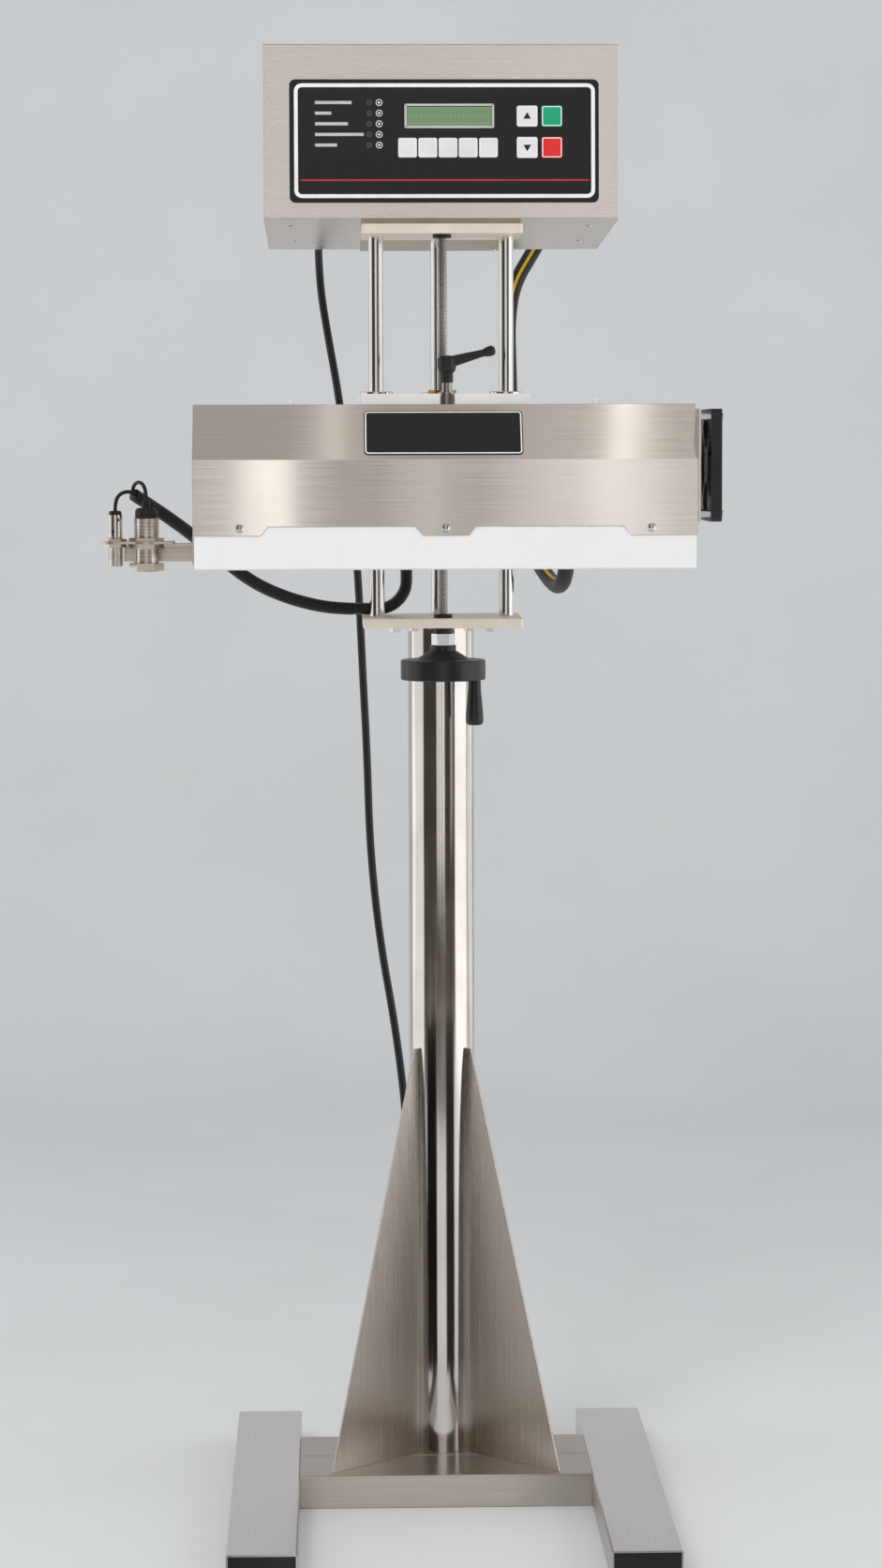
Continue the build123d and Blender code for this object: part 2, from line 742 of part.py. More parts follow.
impeller_x0 = fan_x0 + spoke_depth + end_play
impeller_x1 = fan_x1 - 0.8
impeller = cross_pin(impeller_x0, impeller_x1, fan_y, fan_z, fan_hub_radius)
impeller = fillet(impeller.edges().filter_by(GeomType.CIRCLE).sort_by(Axis.X)[-1], 2.0)
blade_chord = 27.0
blade_thickness = 1.2
blade_length = fan_blade_radius - fan_hub_radius + 2.0
for i in range(fan_blades):
    blade = Pos(0, 0, fan_hub_radius - 2.0 + blade_length / 2) * Rot(0, 0, -90 + fan_blade_pitch) * Box(
        blade_thickness, blade_chord, blade_length
    )
    blade = Rot(360 / fan_blades * i, 0, 0) * Rot(0, 0, 90) * blade
    impeller += Pos((impeller_x0 + impeller_x1) / 2, fan_y, fan_z) * blade
impeller &= cross_pin(impeller_x0, impeller_x1, fan_y, fan_z, fan_blade_radius)
impeller -= cross_pin(impeller_x0 - 1, shaft_end + end_play, fan_y, fan_z, shaft_radius + running_clearance)
parts["fan_impeller"] = impeller


def standoff(y, z):
    sleeve = cross_pin(end_plate_x + end_plate_thickness, fan_x0, y, z, standoff_radius)
    screw = cross_pin(fan_x0, fan_x1, y, z, 2.0) + cross_pin(fan_x1, fan_x1 + 2.0, y, z, 3.8)
    return sleeve + screw


parts["fan_standoffs"] = group(*[standoff(y, z) for y, z in hole_places])

# Sensor arm, bracket and sensors
arm_right = -house_half
arm_left = arm_right - arm_reach
small_sensor_x = arm_right - small_sensor_reach
large_sensor_x = arm_right - large_sensor_reach
bracket_right = arm_right - bracket_gap
arm_bottom = arm_top - arm_height
bracket_bottom = arm_top
bracket_top = bracket_bottom + bracket_thickness
arm_rear = arm_front + arm_depth
sensor_arm = block(arm_left, arm_right, arm_rear - arm_wall, arm_rear, arm_bottom, arm_top)
sensor_arm += block(arm_left, arm_right, arm_front, arm_rear, arm_top - arm_wall, arm_top)
foot_top = cover_edge - tab_drop - 0.5
sensor_arm += block(arm_right - arm_wall, arm_right, arm_front - 8, arm_rear + 8, arm_bottom - 3, foot_top)
sensor_holes = [
    (small_sensor_x, small_sensor_radius), (large_sensor_x, large_sensor_radius)
]
bracket = plate(
    small_sensor_x, bracket_right, sensor_y - bracket_half_depth, sensor_y + bracket_half_depth,
    bracket_bottom, bracket_top, 3.0,
)
for x, r in sensor_holes:
    bracket += post(x, sensor_y, bracket_bottom, bracket_top, r + bracket_margin)
nut_reach = 3.2
corner_share = 2 / math.sqrt(3)
for x, r in sensor_holes:
    sensor_arm -= post(x, sensor_y, arm_bottom - 1, arm_top + 1, (r + nut_reach) * corner_share + 0.6)
    bracket -= post(x, sensor_y, bracket_bottom - 1, bracket_top + 1, r + fit_clearance)
parts["sensor_arm"] = sensor_arm
parts["sensor_bracket"] = bracket
small_sensor = turned(small_sensor_x, sensor_y, [
    (0, small_sensor_bottom), (small_sensor_radius - 0.6, small_sensor_bottom),
    (small_sensor_radius, small_sensor_bottom + 0.8), (small_sensor_radius, small_sensor_top - 4.8),
    (small_sensor_radius - 1.0, small_sensor_top - 4.0), (small_sensor_radius - 1.0, small_sensor_top - 1.2),
    (small_sensor_radius - 2.4, small_sensor_top), (0, small_sensor_top),
])
large_sensor = turned(large_sensor_x, sensor_y, [
    (0, large_sensor_bottom), (large_sensor_radius - 1.0, large_sensor_bottom),
    (large_sensor_radius, large_sensor_bottom + 1.3), (large_sensor_radius, large_sensor_shell_top),
    (large_sensor_radius - 1.4, large_sensor_shell_top + 1.0), (large_sensor_radius - 1.4, large_sensor_top - 11.6),
    (large_sensor_radius - 4.0, large_sensor_top - 8.4), (5.2, large_sensor_top - 8.4),
    (4.2, large_sensor_top), (0, large_sensor_top),
])
parts["small_sensor"] = small_sensor
parts["large_sensor"] = large_sensor
sensor_nut_heights = [(small_sensor_x, small_sensor_radius, 4.0), (large_sensor_x, large_sensor_radius, 5.6)]
nuts = []
for x, r, height in sensor_nut_heights:
    for z0, z1 in ((bracket_bottom - height, bracket_bottom), (bracket_top, bracket_top + height * 0.7)):
        nut = hexagon(x, sensor_y, z0, z1, 2 * (r + nut_reach))
        nuts.append(nut - post(x, sensor_y, z0 - 1, z1 + 1, r + fit_clearance))
end_nut_bottom = large_sensor_bottom + 1.3
end_nut_top = end_nut_bottom + end_nut_height
end_nut = hexagon(large_sensor_x, sensor_y, end_nut_bottom, end_nut_top, 2 * (large_sensor_radius + nut_reach))
nuts.append(end_nut - post(
    large_sensor_x, sensor_y, end_nut_bottom - 1, end_nut_top + 1, large_sensor_radius + fit_clearance
))
parts["sensor_nuts"] = group(*nuts)


# Rear inlets of the head: the conduit enters from behind and the coil lead from below
conduit_inlet_x = -42.0
conduit_inlet_z = 1200.0
conduit_end_y = -104.0
lead_inlet_x = 149.6
lead_inlet_y = -92.0
lead_inlet_z = 1226.0
inlet_wall = 3.5
inlet_length = 22.0
lead_entry = 14.0


def conduit_inlet():
    """A sleeve on the head's rear face that the conduit is pushed into."""
    sleeve = bar_along_y(
        conduit_inlet_x, head_rear, head_rear + inlet_length, conduit_inlet_z, conduit_radius + inlet_wall
    )
    return sleeve - bar_along_y(
        conduit_inlet_x, conduit_end_y, head_rear + inlet_length + 1, conduit_inlet_z, conduit_radius
    )


def lead_inlet_block():
    """An upright sleeve, closed at its top, on a block that is fixed to the head's rear face."""
    x, y, z = lead_inlet_x, lead_inlet_y, lead_inlet_z
    half = lead_radius + 3.0
    body = post(x, y, z, z + inlet_length, lead_radius + inlet_wall)
    body += block(x - half, x + half, head_rear, y, z + 8, z + inlet_length + 8)
    body += post(x, y, z + lead_entry, z + inlet_length + 8, half)
    return body - post(x, y, z - 1, z + lead_entry, lead_radius)


parts["head_glands"] = group(conduit_inlet(), lead_inlet_block())


# Control box

def in_box(x0, x1, d0, d1, h0, h1):
    return block(x0, x1, d0, d1, h0, h1)


outer_x = box_half_width
inner_x = outer_x - box_sheet - box_seam
lead_inlet = (165.0, 60.0)
mains_inlet = (-147.0, 42.0)
base_sheet = in_box(-inner_x, inner_x, panel_thickness, box_depth, 0, box_sheet)
rear_high = box_height - box_sheet - box_seam
base_sheet += in_box(-inner_x, inner_x, box_depth - box_sheet, box_depth, 0, rear_high)
for side in (-1, 1):
    x0, x1 = sorted((side * inner_x, side * (inner_x - box_sheet)))
    base_sheet += in_box(x0, x1, panel_thickness + panel_flange + 1, box_depth, 0, 18.0)
for x, d in box_screw_places + carrier_screw_places:
    base_sheet -= post(x, d, -1, box_sheet + 1, box_screw_hole)
for (x, h), r in ((lead_inlet, lead_radius), (mains_inlet, mains_radius + 1.5)):
    base_sheet -= bar_along_y(x, box_depth - 5, box_depth + 5, h, r + 2.0)
vent_rows = 6
vent_columns = 3
for row in range(vent_rows):
    for column in range(vent_columns):
        x = (column - 1) * 62.0
        h = 92.0 + row * 13.0
        base_sheet -= in_box(x - 24, x + 24, box_depth - 5, box_depth + 5, h, h + 4.0)
parts["box_base"] = on_box(base_sheet)

cover_outer = in_box(-outer_x, outer_x, panel_thickness, box_depth, 0, box_height)
long_edges = cover_outer.edges().filter_by(Axis.Y).sort_by(Axis.Z)[2:]
cover_outer = fillet(long_edges, 3.0)
cover_inner = in_box(-outer_x + box_sheet, outer_x - box_sheet, 0, box_depth + 1, -1, box_height - box_sheet)
parts["box_cover"] = on_box(cover_outer - cover_inner)

flange_x = outer_x - box_sheet - box_seam
panel = in_box(-outer_x, outer_x, 0, panel_thickness, 0, box_height)
panel = chamfer(panel.faces().sort_by(Axis.Y)[0].edges(), 0.8)
ring_outer = in_box(
    -flange_x, flange_x, panel_thickness, panel_thickness + panel_flange,
    box_sheet + box_seam, box_height - box_sheet - box_seam,
)
ring_inner = in_box(
    -flange_x + box_sheet, flange_x - box_sheet, 0, panel_thickness + panel_flange + 1,
    2 * box_sheet + box_seam, box_height - 2 * box_sheet - box_seam,
)
panel += ring_outer - (ring_inner & in_box(-outer_x, outer_x, panel_thickness, 60, 0, box_height))

overlay_x = (overlay_left + overlay_right) / 2
overlay_v = (overlay_bottom + overlay_top) / 2
overlay_shape = RectangleRounded(overlay_right - overlay_left, overlay_top - overlay_bottom, overlay_corner)
overlay = Pos(overlay_x, 0, overlay_v) * extrude(Plane.XZ * overlay_shape, overlay_thickness)

small_keys = [
    (f"set_key_{i + 1}", small_key_first + i * small_key_pitch, small_key_v, small_key_width, small_key_height)
    for i in range(5)
]
large_keys = [
    ("up_key", arrow_key_x, large_key_upper_v, large_key_size, large_key_size),
    ("down_key", arrow_key_x, large_key_lower_v, large_key_size, large_key_size),
    ("start_key", colour_key_x, large_key_upper_v, large_key_size, large_key_size),
    ("stop_key", colour_key_x, large_key_lower_v, large_key_size, large_key_size),
]
board = in_box(board_left, board_right, board_depth, board_depth + board_thickness, board_bottom, board_top)
key_corner = 2.5
switch_half = 3.0
switch_gap = 0.2
for name, x, v, width, height in small_keys + large_keys:
    cap_shape = RectangleRounded(width, height, key_corner)
    cap = Pos(x, -key_proud, v) * extrude(Plane.XZ * cap_shape, -(key_proud + key_depth))
    cap = Pos(0, -overlay_thickness, 0) * cap
    cap = fillet(cap.faces().sort_by(Axis.Y)[0].edges(), 0.5)
    parts[name] = on_box(cap)
    hole_shape = RectangleRounded(width + 2 * key_gap, height + 2 * key_gap, key_corner + key_gap)
    hole = Pos(x, -5, v) * extrude(Plane.XZ * hole_shape, -15)
    overlay -= hole
    panel -= hole
    switch_face = key_depth - overlay_thickness + key_travel + switch_gap
    board += in_box(x - switch_half, x + switch_half, switch_face, board_depth, v - switch_half, v + switch_half)

window = in_box(display_left, display_right, -overlay_thickness, panel_thickness, display_bottom, display_top)
overlay -= window
panel -= window
parts["display_window"] = on_box(in_box(
    display_left + fit_clearance, display_right - fit_clearance, -overlay_thickness + 0.1, panel_thickness,
    display_bottom + fit_clearance, display_top - fit_clearance,
))
board += in_box(display_left, display_right, panel_thickness, board_depth, display_bottom, display_top)
lenses = []
for i in range(lens_count):
    v = lens_top_v - i * lens_pitch
    hole = bar_along_y(lens_x, -5, 10, v, lens_radius + fit_clearance)
    overlay -= hole
    panel -= hole
    lens = bar_along_y(lens_x, -overlay_thickness - 0.6, panel_thickness, v, lens_radius)
    lenses.append(on_box(fillet(lens.edges().filter_by(GeomType.CIRCLE).sort_by(Axis.Y)[0], 0.5)))
    board += bar_along_y(lens_x, panel_thickness, board_depth, v, 1.6)
stud_spots = [(x, v) for x in (board_left + 6, board_right - 6) for v in (board_bottom + 6, board_top - 6)]
for x, v in stud_spots:
    panel += bar_along_y(x, panel_thickness - 0.5, board_depth, v, 3.0)
parts["front_panel"] = on_box(panel)
parts["panel_overlay"] = on_box(overlay)
parts["indicator_lenses"] = group(*lenses)
parts["panel_board"] = on_box(board)

# Power module: heat sink with fins on the floor of the box, and its board
fin_bottom = box_sheet + sink_base
module = in_box(-sink_half_width, sink_half_width, sink_front, sink_rear, box_sheet, fin_bottom)
fin_pitch = (2 * sink_half_width - fin_thickness) / (fin_count - 1)
for i in range(fin_count):
    x = -sink_half_width + i * fin_pitch
    module += in_box(x, x + fin_thickness, sink_front, sink_rear, fin_bottom, box_sheet + sink_height)
module += in_box(
    -sink_half_width, sink_half_width, sink_front - module_length, sink_front,
    box_sheet, box_sheet + module_height,
)
parts["power_module"] = on_box(module)


# Rear glands and strain relief
gland_hex = 12.0
relief_length = 34.0


def rear_gland(x, h, tube_radius, tail):
    """A hexagonal gland with a lock nut inside the wall and a tapered sleeve behind it."""
    nut_face = Plane.XZ * RegularPolygon(tube_radius + 6.5, 6)
    nut_body = Pos(x, box_depth + gland_hex, h) * extrude(nut_face, gland_hex)
    neck = bar_along_y(x, box_depth - 8, box_depth + 0.5, h, tube_radius + 2.0 - fit_clearance)
    lock = Pos(x, box_depth - box_sheet, h) * extrude(nut_face, 4.0)
    sleeve_profile = Polyline(
        (0, 0), (tube_radius + 4.0, 0), (tube_radius + 2.0, tail * 0.5), (tube_radius + 1.0, tail), (0, tail), close=True
    )
    sleeve = Pos(x, box_depth + gland_hex, h) * Rot(-90, 0, 0) * revolve(make_face(Plane.XZ * sleeve_profile), Axis.Z)
    bored = nut_body + neck + lock + sleeve
    return bored - bar_along_y(x, box_depth - 12, box_depth + gland_hex + tail + 1, h, tube_radius)


mains_gland = rear_gland(*mains_inlet, mains_radius, relief_length)
lead_gland = rear_gland(*lead_inlet, lead_radius, 8.0)
parts["box_glands"] = group(on_box(mains_gland), on_box(lead_gland))


def box_point(x, d, h):
    """A point of the box's frame in the object's frame."""
    return (
        x,
        box_front_y + d * math.cos(lean) + h * math.sin(lean),
        box_front_z - d * math.sin(lean) + h * math.cos(lean),
    )


# Mains cable: it leaves the box's rear wall, hangs to the floor behind the column and is coiled there
mains_start = box_point(mains_inlet[0], box_depth + 4.0, mains_inlet[1])
mains_route = [
    mains_start,
    box_point(mains_inlet[0], box_depth + gland_hex + relief_length + 6.0, mains_inlet[1]),
    (-147.2, 398.0, 1546.0),
    (-146.6, 421.0, 1508.0),
    (-143.5, 416.0, 1466.0),
    (-134.5, 402.0, 1410.0),
    (-122.0, 386.0, 1340.0),
    (-108.0, 368.0, 1230.0),
    (-97.5, 356.0, 1105.0),
    (-92.6, 346.0, 985.0),
    (-87.0, 338.0, 870.0),
    (-84.0, 331.0, 750.0),
    (-72.0, 325.0, 630.0),
    (-50.6, 320.0, 508.0),
    (-36.0, 316.0, 380.0),
    (-40.0, 314.0, 260.0),
    (-56.0, 309.0, 165.0),
    (-64.0, 304.0, 95.0),
    (-54.0, 299.5, 46.0),
    (-26.0, 297.0, 15.0),
    (15.0, 296.0, 6.2),
]
ring_section = Pos(coil_mean_radius, coil_section / 2) * RectangleRounded(coil_section, coil_section, 6.0)
parts["cable_coil"] = Pos(coil_x, coil_y, 0) * revolve(Plane.XZ * ring_section, Axis.Z)

# Plug with two round pins, lying beside the coil
plug_x = coil_x + coil_mean_radius + 3.5
plug_y = coil_y - 72.0
plug_radius = 17.6
plug_profile = make_face(Plane.XZ * Polyline(
    (0, 0), (6.2, 0), (6.8, 12.0), (10.0, 17.0), (16.0, 24.0),
    (plug_radius, 34.0), (plug_radius, 44.0), (0, 44.0), close=True,
))
plug = Pos(plug_x, plug_y, plug_radius) * Rot(90, 0, 0) * revolve(plug_profile, Axis.Z)
for side in (-1, 1):
    plug += bar_along_y(plug_x + side * 9.5, plug_y - 44.0 - 19.0, plug_y - 43.0, plug_radius, 2.4)
parts["mains_plug"] = plug
tail_route = [
    (coil_x + coil_mean_radius, coil_y, 10.5),
    (coil_x + coil_mean_radius + 0.4, coil_y - 24.0, 11.6),
    (coil_x + coil_mean_radius + 1.8, coil_y - 48.0, 14.6),
    (plug_x, plug_y, plug_radius),
]
parts["mains_cable"] = group(cord("mains cable", mains_route, mains_radius), cord("cable tail", tail_route, mains_radius))

# Coil lead: from the box's rear wall down and forward to the inlet behind the head
lead_start = box_point(lead_inlet[0], box_depth + 4.0, lead_inlet[1])
lead_route = [
    lead_start,
    box_point(lead_inlet[0], box_depth + 71.0, lead_inlet[1]),
    (156.0, 422.0, 1560.0),
    (135.0, 450.0, 1524.0),
    (110.0, 452.0, 1482.0),
    (102.0, 430.0, 1432.0),
    (102.0, 398.0, 1376.0),
    (101.0, 345.0, 1318.0),
    (97.0, 268.0, 1250.0),
    (99.0, 170.0, 1174.0),
    (136.0, 48.0, 1101.0),
    (148.0, -36.0, 1101.0),
    (lead_inlet_x, lead_inlet_y, 1157.0),
    (lead_inlet_x, lead_inlet_y, lead_inlet_z + lead_entry),
]
parts["coil_lead"] = cord("coil lead", lead_route, lead_radius)

# Sensor conduit and the two sensor leads
conduit_route = [
    (-362.0, -156.0, 1214.5),
    (-344.0, -136.0, 1202.0),
    (-322.0, -116.0, 1186.0),
    (-297.0, -94.0, 1166.5),
    (-266.0, -76.0, 1140.0),
    (-227.0, -66.0, 1109.0),
    (-188.0, -52.0, 1090.5),
    (-148.0, -36.0, 1079.0),
    (-118.0, -27.0, 1075.5),
    (-90.6, -24.0, 1075.2),
    (-62.1, -24.0, 1075.2),
    (conduit_inlet_x, -24.0, 1095.3),
    (conduit_inlet_x, -24.5, 1123.8),
    (conduit_inlet_x, -24.0, conduit_inlet_z - 28.1),
    (conduit_inlet_x, -52.1, conduit_inlet_z),
    (conduit_inlet_x, conduit_end_y, conduit_inlet_z),
]
parts["sensor_conduit"] = cord("sensor conduit", conduit_route, conduit_radius)
small_lead_route = [
    (small_sensor_x, sensor_y, small_sensor_top),
    (small_sensor_x, sensor_y, 1206.5),
    (-378.0, -175.8, 1215.5),
    (-368.5, -167.3, 1219.0),
    (-359.6, -158.2, 1215.5),
    (-351.1, -148.7, 1209.0),
]
large_lead_route = [
    (large_sensor_x, sensor_y, large_sensor_top),
    (large_sensor_x, sensor_y, 1220.0),
    (-352.0, -172.3, 1229.0),
    (-359.4, -161.3, 1229.0),
    (-364.6, -153.6, 1220.0),
    (-362.9, -151.8, 1209.5),
]

os.makedirs("parts", exist_ok=True)
parts["sensor_leads"] = group(
    cord("small sensor lead", small_lead_route, sensor_lead_radius),
    cord("large sensor lead", large_lead_route, sensor_lead_radius),
)
for name, shape in parts.items():
    export_step(shape, f"parts/{name}.step")
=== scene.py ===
"""Looks of an induction cap sealer: control box and sealing head on a round column with two tube legs.

Metres, +Z up, the front looks along -Y. The origin is on the floor, on the column's axis.
"""

import math

import bmesh
import bpy
from mathutils import Matrix, Vector


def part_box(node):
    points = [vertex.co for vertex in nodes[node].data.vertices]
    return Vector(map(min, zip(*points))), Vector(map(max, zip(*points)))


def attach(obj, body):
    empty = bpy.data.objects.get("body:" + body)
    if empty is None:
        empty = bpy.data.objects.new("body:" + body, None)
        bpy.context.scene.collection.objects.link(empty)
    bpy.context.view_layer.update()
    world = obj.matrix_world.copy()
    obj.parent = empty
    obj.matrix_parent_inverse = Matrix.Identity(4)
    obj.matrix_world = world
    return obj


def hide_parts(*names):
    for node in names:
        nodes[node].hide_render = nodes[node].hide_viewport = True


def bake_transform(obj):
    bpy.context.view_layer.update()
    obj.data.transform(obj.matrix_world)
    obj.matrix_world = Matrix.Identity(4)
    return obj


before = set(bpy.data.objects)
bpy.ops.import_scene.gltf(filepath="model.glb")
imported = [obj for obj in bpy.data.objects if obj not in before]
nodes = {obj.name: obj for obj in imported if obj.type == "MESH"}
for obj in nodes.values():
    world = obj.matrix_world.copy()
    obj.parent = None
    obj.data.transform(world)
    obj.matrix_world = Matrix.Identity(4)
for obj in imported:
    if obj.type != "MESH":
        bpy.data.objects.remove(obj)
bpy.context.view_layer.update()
mm = 0.001


# Colour and node helpers

def linear(code):
    """An sRGB hex colour as linear RGBA."""
    values = [int(code[i:i + 2], 16) / 255 for i in (1, 3, 5)]
    return (*[v / 12.92 if v <= 0.04045 else ((v + 0.055) / 1.055) ** 2.4 for v in values], 1.0)


def add(tree, kind, sockets=None, **settings):
    """Adds a node with its settings, and sets or links its input sockets."""
    node = tree.nodes.new(kind)
    for key, value in settings.items():
        setattr(node, key, value)
    for key, value in (sockets or {}).items():
        if isinstance(value, bpy.types.NodeSocket):
            tree.links.new(value, node.inputs[key])
        else:
            node.inputs[key].default_value = value
    return node


def surface(name, colour, roughness, metallic=0.0, **constants):
    """A material with a plain Principled shader, to which patterns are added."""
    material = bpy.data.materials.new(name)
    material.use_nodes = True
    tree = material.node_tree
    tree.nodes.clear()
    shader = add(tree, "ShaderNodeBsdfPrincipled", {
        "Base Color": linear(colour), "Roughness": roughness, "Metallic": metallic, **constants,
    })
    add(tree, "ShaderNodeOutputMaterial", {"Surface": shader.outputs["BSDF"]})
    return material, tree, shader


def noise_on(tree, scale, detail=2.0):
    """Noise on Object coordinates, with its cells per metre along X, Y and Z."""
    place = add(tree, "ShaderNodeTexCoord").outputs["Object"]
    stretched = add(tree, "ShaderNodeMapping", {"Vector": place, "Scale": scale})
    return add(tree, "ShaderNodeTexNoise", {
        "Vector": stretched.outputs["Vector"], "Scale": 1.0, "Detail": detail,
    }).outputs["Fac"]


def spread(tree, value, low, high, bottom=0.3, top=0.7):
    """A value from a noise, mapped to a range."""
    return add(tree, "ShaderNodeMapRange", {
        "Value": value, "From Min": bottom, "From Max": top, "To Min": low, "To Max": high,
    }).outputs["Result"]


def tint(tree, shader, value, dark, light):
    """Base colour between two shades, by a value from 0 to 1."""
    mixed = add(tree, "ShaderNodeMix", {0: value, 6: linear(dark), 7: linear(light)}, data_type="RGBA")
    tree.links.new(mixed.outputs[2], shader.inputs["Base Color"])
    return mixed.outputs[2]


def relief(tree, shader, height, depth, strength=1.0, rounded=0.0):
    """Bump of the given depth in metres, on edges that are rounded by a radius."""
    sockets = {"Height": height, "Distance": depth, "Strength": strength}
    if rounded:
        sockets["Normal"] = add(tree, "ShaderNodeBevel", {"Radius": rounded}, samples=4).outputs["Normal"]
    bump = add(tree, "ShaderNodeBump", sockets)
    tree.links.new(bump.outputs["Normal"], shader.inputs["Normal"])


def brushed_steel(name, dark, light, along, roughness, wave=0.0, rounded=0.5 * mm, streak=0.85):
    """Brushed stainless: fine straight scratches, that draw each highlight out across them.

    The scratches are about 0.1 mm wide on the real sheet and are drawn 0.9 mm wide, so that they show.
    """
    material, tree, shader = surface(name, light, roughness, 1.0, Anisotropic=streak)
    across = 1100.0
    lengthwise = 9.0
    scale = [across, across, across]
    scale["xyz".index(along)] = lengthwise
    place = add(tree, "ShaderNodeTexCoord")
    main = add(tree, "ShaderNodeMapping", {"Vector": place.outputs["Object"], "Scale": scale})
    turned = add(tree, "ShaderNodeMapping", {
        "Vector": place.outputs["Object"], "Scale": (across, lengthwise, across),
    })
    facing = add(tree, "ShaderNodeSeparateXYZ", {"Vector": place.outputs["Normal"]})
    sideways = add(tree, "ShaderNodeMath", {0: facing.outputs["X"]}, operation="ABSOLUTE")
    on_side = add(tree, "ShaderNodeMath", {0: sideways.outputs[0], 1: 0.75}, operation="GREATER_THAN")
    chosen = add(tree, "ShaderNodeMix", {
        0: on_side.outputs[0], 4: main.outputs["Vector"], 5: turned.outputs["Vector"],
    }, data_type="VECTOR")
    # Highlights lengthen along the tangent, which therefore lies across the scratches
    tangents = {"x": (0.0, 0.6, 0.8), "y": (0.8, 0.0, 0.6), "z": (0.8, 0.6, 0.0)}
    main_tangent = add(tree, "ShaderNodeCombineXYZ", dict(enumerate(tangents[along])))
    side_tangent = add(tree, "ShaderNodeCombineXYZ", {2: 1.0})
    tangent = add(tree, "ShaderNodeMix", {
        0: on_side.outputs[0], 4: main_tangent.outputs[0], 5: side_tangent.outputs[0],
    }, data_type="VECTOR")
    tree.links.new(tangent.outputs[1], shader.inputs["Tangent"])
    scratches = add(tree, "ShaderNodeTexNoise", {
        "Vector": chosen.outputs[1], "Scale": 1.0, "Detail": 3.0,
    }).outputs["Fac"]
    cloud = noise_on(tree, (6.0, 6.0, 6.0), 3.0)
    tint(tree, shader, spread(tree, scratches, 0.0, 1.0, 0.25, 0.75), dark, light)
    rough = add(tree, "ShaderNodeMath", {
        0: spread(tree, scratches, -0.02, 0.02), 1: spread(tree, cloud, roughness - 0.015, roughness + 0.02),
    })
    tree.links.new(rough.outputs[0], shader.inputs["Roughness"])
    relief(tree, shader, scratches, 0.01 * mm, 0.2, rounded)
    if wave:
        # The sheet's own slight waviness, across the front and hardly up it
        swell = noise_on(tree, (9.0, 9.0, 0.8), 1.0)
        bent = add(tree, "ShaderNodeBump", {"Height": swell, "Distance": wave, "Strength": 1.0})
        fine = shader.inputs["Normal"].links[0].from_node
        edge = fine.inputs["Normal"].links[0].from_socket
        tree.links.new(edge, bent.inputs["Normal"])
        tree.links.new(bent.outputs["Normal"], fine.inputs["Normal"])
    return material


def polished_steel(name, dark, light, roughness, along="z"):
    """Drawn or ground steel, mirror bright, with faint lengthwise marks some 2 mm wide."""
    material, tree, shader = surface(name, light, roughness, 1.0)
    scale = [420.0, 420.0, 420.0]
    scale["xyz".index(along)] = 5.0
    marks = noise_on(tree, scale, 3.0)
    smears = noise_on(tree, (14.0, 14.0, 9.0), 3.0)
    tint(tree, shader, spread(tree, smears, 0.0, 1.0), dark, light)
    rough = add(tree, "ShaderNodeMath", {
        0: spread(tree, marks, -0.02, 0.03), 1: spread(tree, smears, roughness - 0.02, roughness + 0.03),
    })
    tree.links.new(rough.outputs[0], shader.inputs["Roughness"])
    relief(tree, shader, marks, 0.004 * mm, 0.4, 0.4 * mm)
    return material


def milled_plate(name, dark, light, roughness=0.38, metallic=0.85):
    """Milled aluminium plate: matt, with faint cutter arcs about 3 mm apart."""
    material, tree, shader = surface(name, light, roughness, metallic)
    place = add(tree, "ShaderNodeTexCoord").outputs["Object"]
    shifted = add(tree, "ShaderNodeMapping", {"Vector": place, "Location": (0.35, 0.6, 0.0)})
    arcs = add(tree, "ShaderNodeTexWave", {
        "Vector": shifted.outputs["Vector"], "Scale": 55.0, "Distortion": 0.6,
        "Detail": 2.0, "Detail Scale": 2.0,
    }, wave_type="RINGS", rings_direction="Z").outputs["Fac"]
    grit = noise_on(tree, (900.0, 900.0, 900.0))
    cloud = noise_on(tree, (22.0, 22.0, 22.0), 3.0)
    tint(tree, shader, spread(tree, cloud, 0.0, 1.0), dark, light)
    height = add(tree, "ShaderNodeMath", {0: arcs, 1: spread(tree, grit, 0.0, 0.8)})
    tree.links.new(spread(tree, cloud, roughness - 0.04, roughness + 0.06), shader.inputs["Roughness"])
    relief(tree, shader, height.outputs[0], 0.006 * mm, 0.6, 0.5 * mm)
    return material


def moulded(name, dark, light, roughness, grain=1400.0, depth=0.03, rounded=0.4 * mm):
    """Moulded plastic or rubber: a fine eroded grain, which is 0.3 mm on the tool and is drawn 0.7 mm.

    The grain is in cells per metre and its depth in mm.
    """
    material, tree, shader = surface(name, light, roughness)
    texture = noise_on(tree, (grain, grain, grain), 2.0)
    cloud = noise_on(tree, (35.0, 35.0, 35.0), 3.0)
    tint(tree, shader, spread(tree, cloud, 0.0, 1.0), dark, light)
    tree.links.new(spread(tree, cloud, roughness - 0.04, roughness + 0.05), shader.inputs["Roughness"])
    relief(tree, shader, texture, depth * mm, 0.5, rounded)
    return material


# Finishes, and what each gives the eye

# Sheet of the head's cover: upright streaks of light, drawn out across its level scratches
sheet_steel = brushed_steel(
    "brushed stainless sheet", "#d0c9c2", "#dcd6cf", "x", 0.15, wave=0.3 * mm, rounded=0.9 * mm, streak=0.95
)
# The box's sheet: paler and calmer, with bright folded edges
box_steel = brushed_steel(
    "brushed stainless box", "#d6cfc8", "#e2dbd5", "x", 0.28, wave=0.3 * mm, rounded=0.9 * mm
)
# Cut plate: darker, with upright scratches and a bright cut edge
gusset_steel = brushed_steel(
    "brushed stainless gusset", "#b9afa6", "#d0c8c0", "z", 0.26, wave=0.2 * mm, rounded=1.6 * mm
)
